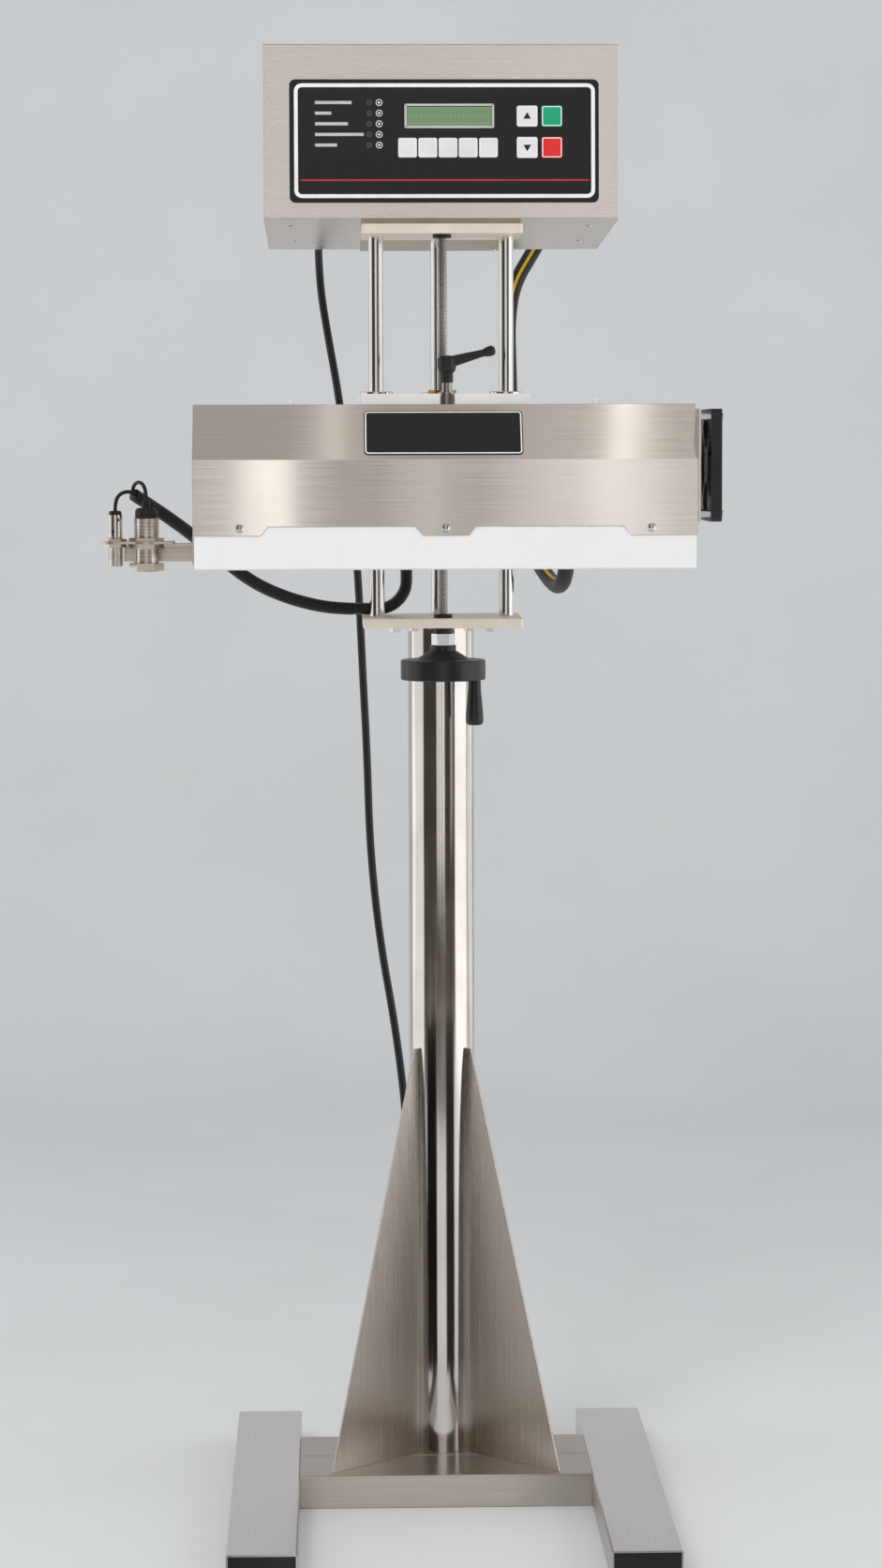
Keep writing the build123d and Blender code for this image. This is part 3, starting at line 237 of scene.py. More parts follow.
# Leg tube: a level satin shade along its top
leg_steel = brushed_steel("brushed stainless leg tube", "#d3ccc9", "#e0dbd8", "y", 0.36, rounded=1.0 * mm)
# Cross tube: the same stock, with painted shade: its colours are darker, for the legs' shadow on it
cross_steel = brushed_steel("brushed stainless cross tube", "#bfb5ad", "#d3cbc4", "x", 0.30, rounded=1.0 * mm)
# Polished tube: hard black and white bands from top to foot
column_steel = polished_steel("polished stainless column", "#d6d0ca", "#e8e3de", 0.10)
# Hard chrome: a bright bar with one dark edge
rod_steel = polished_steel("hard chromed rod", "#dcdad7", "#eceae8", 0.08)
# Zinc plated screws and washers: cool, bright and slightly milky
zinc = polished_steel("bright zinc", "#c4c6c8", "#dcdedf", 0.22, "x")
# Rolled thread: grey, with a glint on each crest
screw_steel = polished_steel("rolled screw steel", "#8e8985", "#bab4ae", 0.24, "x")
# Milled plates: matt and warm, lit almost evenly
plate_metal = milled_plate("milled aluminium plate", "#e0d3c3", "#efe4d7", 0.42, 0.3)
# Carriage: nearly white, matt
pale_plate = milled_plate("pale anodised carriage", "#f1efec", "#faf8f6", 0.42, 0.3)
# Wedge: the side of a milled bar, with painted shade: its colours are darker and brownish, for the box's
# shadow on it
wedge_metal = milled_plate("milled aluminium wedge", "#a3937d", "#b7a893")
# Punched bracket and the nuts: pale, soft nickel
nut_nickel = polished_steel("satin nickel plated brass", "#c2b8a9", "#ddd5c8", 0.36, "x")
# Bent arm: brown grey, brushed along its length
arm_steel = brushed_steel("bent stainless arm", "#b3a79b", "#cfc6bc", "x", 0.3, rounded=1.0 * mm)
# Bronze nut: a warm spot behind the head
bronze = polished_steel("turned bronze", "#a8824a", "#c59e63", 0.25, "x")
# Moulded nylon: deep black with a soft grey sheen on its edges
black_plastic = moulded("black moulded nylon", "#121112", "#1c1b1b", 0.42)
# Thermoset wheel: black, glossier, with an orange peel skin
handle_plastic = moulded("black thermoset handwheel", "#121111", "#1d1b1b", 0.34, 700.0, 0.04)
# Milled polyethylene: milky white, dull
white_block = moulded("milled white polyethylene", "#ecedec", "#eeefee", 0.5, 260.0, 0.01, 0.8 * mm)
# Nylon posts: small white caps with a soft highlight
cap_white = moulded("white nylon post", "#dfe2e2", "#f0f1f0", 0.4)
# Cable sheath: a thin black line with a dull gleam
cable_black = moulded("black cable sheath", "#0c0c0d", "#181719", 0.48, 900.0, 0.03, 0)
# Corrugated conduit: black rings that glint one by one
conduit_black = moulded("black corrugated conduit", "#0b0b0c", "#171617", 0.34, 900.0, 0.02, 0)
# Inside: green lacquer, grey black ferrite, brown copper and the grey heat sink
board_green = moulded("lacquered board", "#0b3a20", "#135231", 0.35)
ferrite = moulded("sintered ferrite", "#26262a", "#34343a", 0.7)
copper = polished_steel("stranded copper", "#8f5635", "#b87548", 0.35, "x")
sink_metal = milled_plate("extruded heat sink", "#a9abad", "#c1c3c5")
# Printed polyester film: even black with a dull bloom
overlay_film = moulded("printed overlay film", "#0f0e0f", "#141314", 0.42, 2200.0, 0.015, 0.3 * mm)
# Key caps under film: flat colours with soft edges
key_grey = moulded("pale key film", "#dcdadb", "#e8e6e7", 0.4, 2200.0, 0.01)
key_green = moulded("green key film", "#079c6c", "#0cab78", 0.4, 2200.0, 0.01)
key_red = moulded("red key film", "#d91c20", "#e62b2c", 0.4, 2200.0, 0.01)
# Screen print: opaque ink, dull and even
print_white = moulded("white screen print", "#e8e8e6", "#f4f4f2", 0.5, 2200.0, 0.005, 0)
print_grey = moulded("pale grey screen print", "#b9b8b6", "#c6c5c3", 0.5, 2200.0, 0.005, 0)
print_dim = moulded("dim grey screen print", "#5a5858", "#676565", 0.5, 2200.0, 0.005, 0)
print_red = moulded("red screen print", "#a8262b", "#b93036", 0.5, 2200.0, 0.005, 0)
print_black = moulded("black screen print", "#121112", "#1a191a", 0.5, 2200.0, 0.005, 0)
# Indicator lenses: smoky and glossy
lens_clear = moulded("smoked lens", "#2a2727", "#3a3635", 0.18)


hole_radius = 2.1 * mm


def sensor_material(name, node, pitch, shell, boot, holes=()):
    """Nickel plated sensor: thread below, plain shell above it, a black boot on top, and holes in its front
    painted near black as painted shade.

    Shell and boot begin so many mm under its top. A hole's place is across from the axis and under the top.
    The thread is a height on Z, so that it shows as level lines of its own pitch.
    """
    low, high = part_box(node)
    shell_from, boot_from = high.z - shell * mm, high.z - boot * mm
    material, tree, shader = surface(name, "#d8d2c8", 0.2, 1.0)
    place = add(tree, "ShaderNodeTexCoord").outputs["Object"]
    height = add(tree, "ShaderNodeSeparateXYZ", {"Vector": place}).outputs["Z"]
    black = add(tree, "ShaderNodeMath", {0: height, 1: boot_from}, operation="GREATER_THAN").outputs[0]
    # Painted shade: each hole is a flat disc painted near black, as if dark inside, and joins the boot's
    # black
    for across, down in holes:
        centre = ((low.x + high.x) / 2 + across * mm, low.y, high.z - down * mm)
        away = add(tree, "ShaderNodeVectorMath", {0: place, 1: centre}, operation="DISTANCE").outputs["Value"]
        hole = add(tree, "ShaderNodeMath", {0: away, 1: hole_radius}, operation="LESS_THAN").outputs[0]
        black = add(tree, "ShaderNodeMath", {0: black, 1: hole}, operation="MAXIMUM").outputs[0]
    plain = add(tree, "ShaderNodeMath", {0: height, 1: shell_from}, operation="GREATER_THAN").outputs[0]
    smears = noise_on(tree, (60.0, 60.0, 60.0), 3.0)
    nickel = tint(tree, shader, spread(tree, smears, 0.0, 1.0), "#b9b0a4", "#dcd6cc")
    metal_colour = add(tree, "ShaderNodeMix", {
        0: plain, 6: nickel, 7: linear("#dedad4"),
    }, data_type="RGBA").outputs[2]
    # The boot's black is its own colour; the holes' black is painted shade
    final = add(tree, "ShaderNodeMix", {
        0: black, 6: metal_colour, 7: linear("#141314"),
    }, data_type="RGBA").outputs[2]
    tree.links.new(final, shader.inputs["Base Color"])
    metal = add(tree, "ShaderNodeMath", {0: 1.0, 1: black}, operation="SUBTRACT").outputs[0]
    tree.links.new(metal, shader.inputs["Metallic"])
    rough = add(tree, "ShaderNodeMapRange", {"Value": black, "To Min": 0.2, "To Max": 0.42}).outputs["Result"]
    tree.links.new(rough, shader.inputs["Roughness"])
    turns = add(tree, "ShaderNodeMath", {
        0: height, 1: 2 * math.pi / (pitch * mm),
    }, operation="MULTIPLY").outputs[0]
    ridge = add(tree, "ShaderNodeMath", {0: turns}, operation="SINE").outputs[0]
    threaded = add(tree, "ShaderNodeMath", {0: 1.0, 1: plain}, operation="SUBTRACT").outputs[0]
    depth = add(tree, "ShaderNodeMath", {0: ridge, 1: threaded}, operation="MULTIPLY").outputs[0]
    relief(tree, shader, depth, 0.12 * mm, 0.5, 0.4 * mm)
    return material


small_sensor_finish = sensor_material(
    "small nickel plated sensor", "small_sensor", pitch=1.0, shell=30.4, boot=4.8,
    holes=[(4.1, 10.5), (-2.7, 24.0)],
)
large_sensor_finish = sensor_material(
    "large nickel plated sensor", "large_sensor", pitch=1.5, shell=18.0, boot=20.4
)


def display_material():
    """Green character display under a clear pane, unlit: a glossy grey green with faint character cells."""
    cell_width, cell_height = 5.0 * mm, 9.0 * mm
    material, tree, shader = surface("green display", "#748e6b", 0.12)
    place = add(tree, "ShaderNodeTexCoord").outputs["Object"]
    axes = add(tree, "ShaderNodeSeparateXYZ", {"Vector": place})
    cells = []
    for axis, pitch in (("X", cell_width), ("Z", cell_height)):
        wave = add(tree, "ShaderNodeMath", {
            0: axes.outputs[axis], 1: 2 * math.pi / pitch,
        }, operation="MULTIPLY").outputs[0]
        cells.append(add(tree, "ShaderNodeMath", {0: wave}, operation="SINE").outputs[0])
    product = add(tree, "ShaderNodeMath", {0: cells[0], 1: cells[1]}, operation="MAXIMUM")
    tint(tree, shader, spread(tree, product.outputs[0], 0.0, 1.0, 0.7, 1.0), "#6f8966", "#7a9470")
    relief(tree, shader, noise_on(tree, (300.0, 300.0, 300.0)), 0.003 * mm, 0.3, 0.3 * mm)
    return material


def plug_material():
    """Black moulded plug with bright nickel plated pins, which are everything in front of its face."""
    plug_face = 123.5 * mm
    material, tree, shader = surface("plug with nickel pins", "#161516", 0.4)
    place = add(tree, "ShaderNodeTexCoord").outputs["Object"]
    axes = add(tree, "ShaderNodeSeparateXYZ", {"Vector": place})
    pins = add(tree, "ShaderNodeMath", {0: axes.outputs["Y"], 1: plug_face}, operation="LESS_THAN").outputs[0]
    tint(tree, shader, pins, "#161516", "#cfcac0")
    tree.links.new(pins, shader.inputs["Metallic"])
    grain = noise_on(tree, (900.0, 900.0, 900.0))
    tree.links.new(spread(tree, grain, 0.3, 0.42), shader.inputs["Roughness"])
    relief(tree, shader, grain, 0.02 * mm, 0.5, 0.4 * mm)
    return material


display_green = display_material()
plug_finish = plug_material()

finishes = {
    sheet_steel: ["head_cover"],
    box_steel: ["box_base", "box_cover", "front_panel"],
    gusset_steel: ["gussets"],
    leg_steel: ["left_leg", "right_leg"],
    cross_steel: ["cross_tubes"],
    column_steel: ["column"],
    rod_steel: ["guide_rods", "guide_bushings"],
    zinc: ["hub_nut", "stand_bolts", "cover_screws", "fan_standoffs"],
    screw_steel: ["lift_screw", "lever_stud"],
    plate_metal: ["lower_plate", "upper_plate"],
    wedge_metal: ["tilt_wedge"],
    pale_plate: ["carriage_plate"],
    nut_nickel: ["sensor_nuts", "sensor_bracket"],
    small_sensor_finish: ["small_sensor"],
    large_sensor_finish: ["large_sensor"],
    arm_steel: ["sensor_arm"],
    bronze: ["lift_nut"],
    black_plastic: ["leg_end_caps", "clamp_lever", "fan_frame", "fan_impeller", "box_glands", "head_glands",
                    "screw_bushes"],
    handle_plastic: ["handwheel", "wheel_grip"],
    white_block: ["coil_housing"],
    cap_white: ["post_caps"],
    copper: ["coil_winding"],
    ferrite: ["ferrite_bars"],
    board_green: ["panel_board"],
    sink_metal: ["power_module"],
    overlay_film: ["panel_overlay"],
    display_green: ["display_window"],
    lens_clear: ["indicator_lenses"],
    key_grey: ["set_key_1", "set_key_2", "set_key_3", "set_key_4", "set_key_5", "up_key", "down_key"],
    key_green: ["start_key"],
    key_red: ["stop_key"],
    plug_finish: ["mains_plug"],
    cable_black: ["mains_cable", "cable_coil", "sensor_leads"],
    conduit_black: ["sensor_conduit", "coil_lead"],
}
for finish, names in finishes.items():
    for name in names:
        mesh = nodes[name].data
        mesh.materials.clear()
        mesh.materials.append(finish)


# Pieces

def points_of(geometry):
    """The points among mixed bmesh geometry."""
    return [item for item in geometry if isinstance(item, bmesh.types.BMVert)]


def piece_from(name, bm, finish, body, sharp=35.0):
    """Turns a bmesh into a piece that rides on a body. Bends of more than so many degrees stay sharp."""
    bmesh.ops.recalc_face_normals(bm, faces=bm.faces)
    mesh = bpy.data.meshes.new(name)
    bm.to_mesh(mesh)
    bm.free()
    mesh.materials.append(finish)
    mesh.polygons.foreach_set("use_smooth", [True] * len(mesh.polygons))
    mesh.set_sharp_from_angle(angle=math.radians(sharp))
    piece = bpy.data.objects.new(name, mesh)
    bpy.context.scene.collection.objects.link(piece)
    if body:
        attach(piece, body)
    return piece


# Cords. Their points are those of the routes in the part's source, in mm.

def route_curve(name, points, resolution):
    """The NURBS curve that a route's points control."""
    curve = bpy.data.curves.new(name, "CURVE")
    curve.dimensions = "3D"
    curve.resolution_u = resolution
    spline = curve.splines.new("NURBS")
    spline.points.add(len(points) - 1)
    for point, place in zip(spline.points, points):
        point.co = (*[v * mm for v in place], 1.0)
    spline.order_u = 3
    spline.use_endpoint_u = True
    return curve


def round_cord(name, points, radius, finish, body):
    """A smooth cord: a NURBS curve with a round bevel."""
    curve = route_curve(name, points, 10)
    curve.bevel_depth = radius * mm
    curve.bevel_resolution = 5
    curve.use_fill_caps = True
    curve.materials.append(finish)
    piece = bpy.data.objects.new(name, curve)
    bpy.context.scene.collection.objects.link(piece)
    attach(piece, body)
    return piece


def path_through(points):
    """Points close together on a route's NURBS curve, and the distance of each from its start."""
    holder = bpy.data.objects.new("route", route_curve("route", points, 60))
    line = [v.co.copy() for v in bpy.data.meshes.new_from_object(holder).vertices]
    bpy.data.objects.remove(holder)
    run = [0.0]
    for a, b in zip(line, line[1:]):
        run.append(run[-1] + (b - a).length)
    return line, run


def even_path(points, step):
    """The same line, with its points a step apart."""
    line, run = path_through(points)
    count = round(run[-1] / step)
    even, at = [], 0
    for i in range(count + 1):
        want = run[-1] * i / count
        while at < len(run) - 2 and run[at + 1] < want:
            at += 1
        share = (want - run[at]) / max(run[at + 1] - run[at], 1e-9)
        even.append(line[at].lerp(line[at + 1], share))
    return even, run[-1]


def sleeve(name, points, step, sides, radius_at, finish):
    """A tube along a route, from a grid that is rolled round it. Its UV map gives distance and turn."""
    path, length = even_path(points, step)
    bm = bmesh.new()
    uv = bm.loops.layers.uv.new("along")
    bmesh.ops.create_grid(bm, x_segments=len(path) - 1, y_segments=sides, size=0.5, calc_uvs=True)
    rings = {}
    for vert in bm.verts:
        rings[vert] = (round((vert.co.x + 0.5) * (len(path) - 1)), round((vert.co.y + 0.5) * sides))
    forward = [(b - a).normalized() for a, b in zip(path, path[1:])]
    forward.append(forward[-1])
    side = forward[0].orthogonal().normalized()
    frames = []
    for direction in forward:
        side = (side - direction * side.dot(direction)).normalized()
        frames.append((side, direction.cross(side)))
    for face in bm.faces:
        for loop in face.loops:
            ring, turn = rings[loop.vert]
            loop[uv].uv = (ring / (len(path) - 1) * length, turn / sides)
    for vert, (ring, turn) in rings.items():
        angle = 2 * math.pi * turn / sides
        radius = radius_at(ring / (len(path) - 1) * length) * mm
        u, v = frames[ring]
        vert.co = path[ring] + (u * math.cos(angle) + v * math.sin(angle)) * radius
    bmesh.ops.remove_doubles(bm, verts=bm.verts, dist=0.01 * mm)
    rims = [e for e in bm.edges if e.is_boundary]
    bmesh.ops.holes_fill(bm, edges=rims, sides=0)
    return piece_from(name, bm, finish, None, 60.0), path, length


mains_route = [
    (-147.0, 307.46, 1562.62), (-147.0, 355.41, 1560.54), (-147.2, 398.0, 1546.0), (-146.6, 421.0, 1508.0),
    (-143.5, 416.0, 1466.0), (-134.5, 402.0, 1410.0), (-122.0, 386.0, 1340.0), (-108.0, 368.0, 1230.0),
    (-97.5, 356.0, 1105.0), (-92.6, 346.0, 985.0), (-87.0, 338.0, 870.0), (-84.0, 331.0, 750.0),
    (-72.0, 325.0, 630.0), (-50.6, 320.0, 508.0), (-36.0, 316.0, 380.0), (-40.0, 314.0, 260.0),
    (-56.0, 309.0, 165.0), (-64.0, 304.0, 95.0), (-54.0, 299.5, 46.0), (-26.0, 297.0, 15.0),
    (15.0, 296.0, 6.2),
]
# The cable's coil, in mm: where it lies, and the radius and height of its turns
coil_centre = (15.0, 240.0)
arrival_radius, outer_radius, inner_radius, groove_radius = 56.0, 61.0, 50.4, 55.8
lying_height, arrival_height, groove_height = 5.3, 6.0, 14.5


def between(start, end, share):
    """A value between two others, for a share that is held from 0 to 1."""
    return start + (end - start) * min(max(share, 0.0), 1.0)


def coil_turns():
    """Points of the stored turns: an outer and an inner turn on the floor, and one in the groove on top."""
    steps = 14
    turns = 3.15
    points = []
    for i in range(1, round(turns * steps) + 1):
        turn = i / steps
        angle = math.radians(90 - 360 * turn)
        if turn < 0.95:
            radius = between(arrival_radius, outer_radius, turn / 0.3)
            height = between(arrival_height, lying_height, turn / 0.2)
        elif turn < 1.95:
            radius = between(outer_radius, inner_radius, (turn - 0.95) / 0.25)
            height = lying_height
        else:
            share = (turn - 1.95) / 0.25
            radius = between(inner_radius, groove_radius, share)
            height = between(lying_height, groove_height, share)
        wander = 0.35 * math.sin(7.0 * turn + 1.0)
        points.append((
            coil_centre[0] + (radius + wander) * math.cos(angle),
            coil_centre[1] + (radius + wander) * math.sin(angle), height,
        ))
    return points


tail_route = [(71.0, 240.0, 10.5), (71.4, 216.0, 11.6), (72.8, 192.0, 14.6), (74.5, 168.0, 17.6)]
mains = round_cord(
    "mains_cord", mains_route + coil_turns() + tail_route, 5.0, cable_black, "stand"
)
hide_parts("mains_cable", "cable_coil")

lead_route = [
    (165.0, 308.24, 1580.61), (165.0, 375.17, 1577.70), (156.0, 422.0, 1560.0), (135.0, 450.0, 1524.0),
    (110.0, 452.0, 1482.0), (102.0, 430.0, 1432.0), (102.0, 398.0, 1376.0), (101.0, 345.0, 1318.0),
    (97.0, 268.0, 1250.0), (99.0, 170.0, 1174.0), (136.0, 48.0, 1101.0), (148.0, -36.0, 1101.0),
    (149.6, -92.0, 1157.0), (149.6, -92.0, 1240.0),
]
conduit_route = [
    (-362.0, -156.0, 1214.5), (-344.0, -136.0, 1202.0), (-322.0, -116.0, 1186.0), (-297.0, -94.0, 1166.5),
    (-266.0, -76.0, 1140.0), (-227.0, -66.0, 1109.0), (-188.0, -52.0, 1090.5), (-148.0, -36.0, 1079.0),
    (-118.0, -27.0, 1075.5), (-90.6, -24.0, 1075.2), (-62.1, -24.0, 1075.2), (-42.0, -24.0, 1095.3),
    (-42.0, -24.5, 1123.8), (-42.0, -24.0, 1171.9), (-42.0, -52.1, 1200.0), (-42.0, -104.0, 1200.0),
]
small_lead_route = [
    (-382.6, -180.0, 1196.4), (-382.6, -180.0, 1206.5), (-378.0, -175.8, 1215.5), (-368.5, -167.3, 1219.0),
    (-359.6, -158.2, 1215.5), (-351.1, -148.7, 1209.0),
]
large_lead_route = [
    (-346.8, -180.0, 1208.0), (-346.8, -180.0, 1220.0), (-352.0, -172.3, 1229.0), (-359.4, -161.3, 1229.0),
    (-364.6, -153.6, 1220.0), (-362.9, -151.8, 1209.5),
]


# The lead's stripe: its place round it and half width in turns, and its twist in turns per metre
stripe_turn, stripe_half, stripe_twist = 0.455, 0.03, 0.08
# How far apart the sheath's fine rings are
ring_pitch = 3.0 * mm


def lead_material():
    """Rubber sheath: dull black with fine rings, and a bright yellow stripe that turns slowly round it."""
    material, tree, shader = surface("black lead with yellow stripe", "#131213", 0.42)
    place = add(tree, "ShaderNodeUVMap", uv_map="along").outputs["UV"]
    axes = add(tree, "ShaderNodeSeparateXYZ", {"Vector": place})
    place_round = add(tree, "ShaderNodeMath", {
        0: axes.outputs["X"], 1: stripe_twist, 2: stripe_turn,
    }, operation="MULTIPLY_ADD")
    offset = add(tree, "ShaderNodeMath", {
        0: axes.outputs["Y"], 1: place_round.outputs[0],
    }, operation="SUBTRACT")
    away = add(tree, "ShaderNodeMath", {0: offset.outputs[0], 1: 0.5, 2: 0.0}, operation="PINGPONG")
    stripe = add(tree, "ShaderNodeMapRange", {
        "Value": away.outputs[0], "From Min": stripe_half * 1.2, "From Max": stripe_half,
    }).outputs["Result"]
    tint(tree, shader, stripe, "#141314", "#f2c315")
    wave = add(tree, "ShaderNodeMath", {
        0: axes.outputs["X"], 1: 2 * math.pi / ring_pitch,
    }, operation="MULTIPLY")
    rings = add(tree, "ShaderNodeMath", {0: wave.outputs[0]}, operation="SINE")
    relief(tree, shader, rings.outputs[0], 0.3 * mm, 0.6)
    return material


lead_radius, lead_step, lead_sides = 9.6, 3.0 * mm, 28
lead_finish = lead_material()
lead, lead_path, lead_length = sleeve(
    "coil_lead_sleeve", lead_route, lead_step, lead_sides, lambda run: lead_radius, lead_finish
)
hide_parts("coil_lead")
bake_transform(lead)

rib_pitch = 2.8 * mm
rib_radius, groove_floor = 7.6, 6.7


def ribbed_radius(run):
    """The conduit's radius in mm: rounded ribs with narrow grooves."""
    phase = (run / rib_pitch) % 1.0
    return rib_radius if 0.2 < phase < 0.8 else groove_floor


conduit, conduit_path, conduit_length = sleeve(
    "sensor_conduit_ribs", conduit_route, rib_pitch / 4, 24, ribbed_radius, conduit_black
)
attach(conduit, "head")
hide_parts("sensor_conduit")
small_lead = round_cord("small_sensor_lead", small_lead_route, 2.2, cable_black, "head")
large_lead = round_cord("large_sensor_lead", large_lead_route, 2.2, cable_black, "head")
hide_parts("sensor_leads")
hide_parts("sensor_leads")


def curve_length(points):
    """A route's length along its curve, in metres."""
    return path_through(points)[1][-1]


curve_length(mains_route + coil_turns() + tail_route)
for piece, points in ((small_lead, small_lead_route), (large_lead, large_lead_route)):
    curve_length(points)


def lift_thread():
    """The lift screw: one turn of thread, spun with a rise and repeated, with a round plug in each end."""
    low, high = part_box("lift_screw")
    centre = (low + high) / 2
    pitch, crest, root = 3.0 * mm, 5.98 * mm, 4.5 * mm
    outline = [(crest, 0.0), (crest, 0.9 * mm), (root, 1.3 * mm), (root, 2.5 * mm), (crest, pitch)]
    core, plug_depth, steps = 4.6 * mm, 6 * mm, 20
    bm = bmesh.new()
    line = [bm.verts.new((radius, 0.0, height)) for radius, height in outline]
    edges = [bm.edges.new(pair) for pair in zip(line, line[1:])]
    bmesh.ops.spin(
        bm, geom=line + edges, cent=(0, 0, 0), axis=(0, 0, 1), dvec=(0, 0, pitch / steps),
        angle=2 * math.pi, steps=steps,
    )
    one_turn = bm.verts[:] + bm.edges[:] + bm.faces[:]
    for i in range(1, int((high.z - low.z) / pitch) - 1):
        copy = bmesh.ops.duplicate(bm, geom=one_turn)["geom"]
        bmesh.ops.translate(bm, verts=points_of(copy), vec=(0, 0, i * pitch))
    bmesh.ops.remove_doubles(bm, verts=bm.verts, dist=0.02 * mm)
    for height in (plug_depth / 2, high.z - low.z - plug_depth / 2):
        bmesh.ops.create_cone(
            bm, segments=steps, cap_ends=True, radius1=core, radius2=core, depth=plug_depth,
            matrix=Matrix.Translation((0, 0, height)),
        )
    bmesh.ops.translate(bm, verts=bm.verts, vec=(centre.x, centre.y, low.z))
    thread = piece_from("lift_screw_thread", bm, screw_steel, "screw", 30.0)
    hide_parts("lift_screw")


lift_thread()


# Print on the control panel, in mm in the leaning box's own frame: to the right, up its front and proud of it

box_lean = math.radians(2.487)
box_front, box_foot = -82.0 * mm, 1537.5 * mm
box_frame = Matrix.Translation((0, box_front, box_foot)) @ Matrix.Rotation(-box_lean, 4, "X")
print_thickness = 0.12


def rounded_plate(bm, width, height, corner, centre, proud, thickness=print_thickness, ring=None):
    """A thin rounded rectangle that faces -Y, or only its border of the given width."""
    others = set(bm.faces)
    made = bmesh.ops.create_grid(bm, x_segments=1, y_segments=1, size=0.5)["verts"]
    bmesh.ops.scale(bm, verts=made, vec=(width * mm, height * mm, 1))
    if corner:
        bmesh.ops.bevel(
            bm, geom=made, offset=corner * mm, affect="VERTICES", segments=6, profile=0.5, material=-1
        )
    face = next(f for f in bm.faces if f not in others)
    border = [face]
    if ring:
        border = bmesh.ops.inset_region(
            bm, faces=[face], thickness=ring * mm, use_even_offset=True, use_boundary=True
        )["faces"]
        bmesh.ops.delete(bm, geom=[face], context="FACES_ONLY")
    grown = bmesh.ops.extrude_face_region(bm, geom=border)["geom"]
    bmesh.ops.translate(bm, verts=points_of(grown), vec=(0, 0, thickness * mm))
    verts = {v for f in bm.faces if f not in others for v in f.verts}
    place = Matrix.Translation((centre[0] * mm, -proud * mm, centre[1] * mm))
    bmesh.ops.transform(bm, matrix=place @ Matrix.Rotation(math.pi / 2, 4, "X"), verts=list(verts))


def disc(bm, radius, centre, proud, hole=0.0):
    """A thin round print mark that faces -Y, or a ring."""
    sides = 32
    half = print_thickness / 2
    place = Matrix.Translation((centre[0] * mm, -(proud + half) * mm, centre[1] * mm))
    if not hole:
        bmesh.ops.create_cone(
            bm, segments=sides, cap_ends=True, radius1=radius * mm, radius2=radius * mm,
            depth=print_thickness * mm, matrix=place @ Matrix.Rotation(math.pi / 2, 4, "X"),
        )
        return
    others = set(bm.verts)
    section = [(hole, -half), (radius, -half), (radius, half), (hole, half)]
    line = [bm.verts.new((x * mm, y * mm, 0)) for x, y in section]
    edges = [bm.edges.new((line[i], line[i - 1])) for i in range(4)]
    bmesh.ops.spin(
        bm, geom=line + edges, cent=(0, 0, 0), axis=(0, 1, 0), angle=2 * math.pi, steps=sides, use_merge=True
    )
    bmesh.ops.transform(bm, matrix=place, verts=[v for v in bm.verts if v not in others])


def panel_print(name, finish, shapes, body="stand", frame_of=box_frame):
    """One piece of print, from a list of shape calls."""
    bm = bmesh.new()
    for shape in shapes:
        shape(bm)
    bmesh.ops.transform(bm, matrix=frame_of, verts=bm.verts)
    return piece_from(name, bm, finish, body)


# How proud the film is, then the rows and columns of its label bars, lamps and icons
film = 1.0
row_heights = [136.0 - 12.45 * i for i in range(5)]
label_left = -148.7
label_rights = [-105.7, -129.5, -110.0, -91.4, -123.0]
lamp_column, icon_column = -85.0, -73.2

panel_print("panel_border", print_white, [
    lambda bm: rounded_plate(
        bm, width=355.0, height=134.2, corner=9.0, centre=(4.0, 91.3), proud=film, ring=4.4
    ),
])
panel_print("panel_red_line", print_red, [
    lambda bm: rounded_plate(bm, width=341.0, height=2.0, corner=0, centre=(4.2, 45.1), proud=film),
])
panel_print("panel_label_bars", print_grey, [
    lambda bm, end=right, v=height: rounded_plate(
        bm, width=end - label_left, height=3.6, corner=0, centre=((label_left + end) / 2, v), proud=film
    ) for right, height in zip(label_rights, row_heights)
])
icon_shapes = []
for height in row_heights:
    icon_shapes.append(lambda bm, v=height: disc(bm, 3.9, (icon_column, v), film, hole=3.1))
    icon_shapes.append(lambda bm, v=height: disc(bm, 1.3, (icon_column, v), film))
panel_print("panel_icon_rings", print_white, icon_shapes)
panel_print("panel_lamp_rings", print_dim, [
    lambda bm, v=height: disc(bm, 3.0, (lamp_column, v), film, hole=2.4) for height in row_heights
])
panel_print("display_border", print_grey, [
    lambda bm: rounded_plate(
        bm, width=105.8, height=28.5, corner=1.0, centre=(9.6, 120.3), proud=film, ring=2.6
    ),
])

# Key borders and arrows ride on their keys. Each key: name, place across and up, width and height
key_face = 2.2
lower_row, upper_row = 83.2, 119.9
arrow_column, start_column = 101.4, 130.6
key_edge, border_width, border_corner = 0.7, 1.1, 2.0
panel_keys = [(f"set_key_{i + 1}", -39.8 + 23.85 * i, 83.0, 22.2, 23.0) for i in range(5)]
panel_keys += [
    ("up_key", arrow_column, upper_row, 24.6, 24.6), ("down_key", arrow_column, lower_row, 24.6, 24.6),
    ("start_key", start_column, upper_row, 24.6, 24.6), ("stop_key", start_column, lower_row, 24.6, 24.6),
]
for name, across, up, width, height in panel_keys:
    panel_print(f"{name}_border", print_white, [
        lambda bm, w=width - 2 * key_edge, h=height - 2 * key_edge, c=(across, up): rounded_plate(
            bm, w, h, border_corner, c, key_face, ring=border_width
        ),
    ], f"{name}_cap")


def arrow(bm, height, turned):
    """A printed triangle, which points up unless it is turned."""
    radius = 5.2 * mm
    place = Matrix.Translation((arrow_column * mm, -(key_face + print_thickness / 2) * mm, height * mm))
    turn = Matrix.Rotation(math.pi / 2, 4, "X") @ Matrix.Rotation(turned, 4, "Z")
    bmesh.ops.create_cone(
        bm, segments=3, cap_ends=True, radius1=radius, radius2=radius, depth=print_thickness * mm,
        matrix=place @ turn,
    )


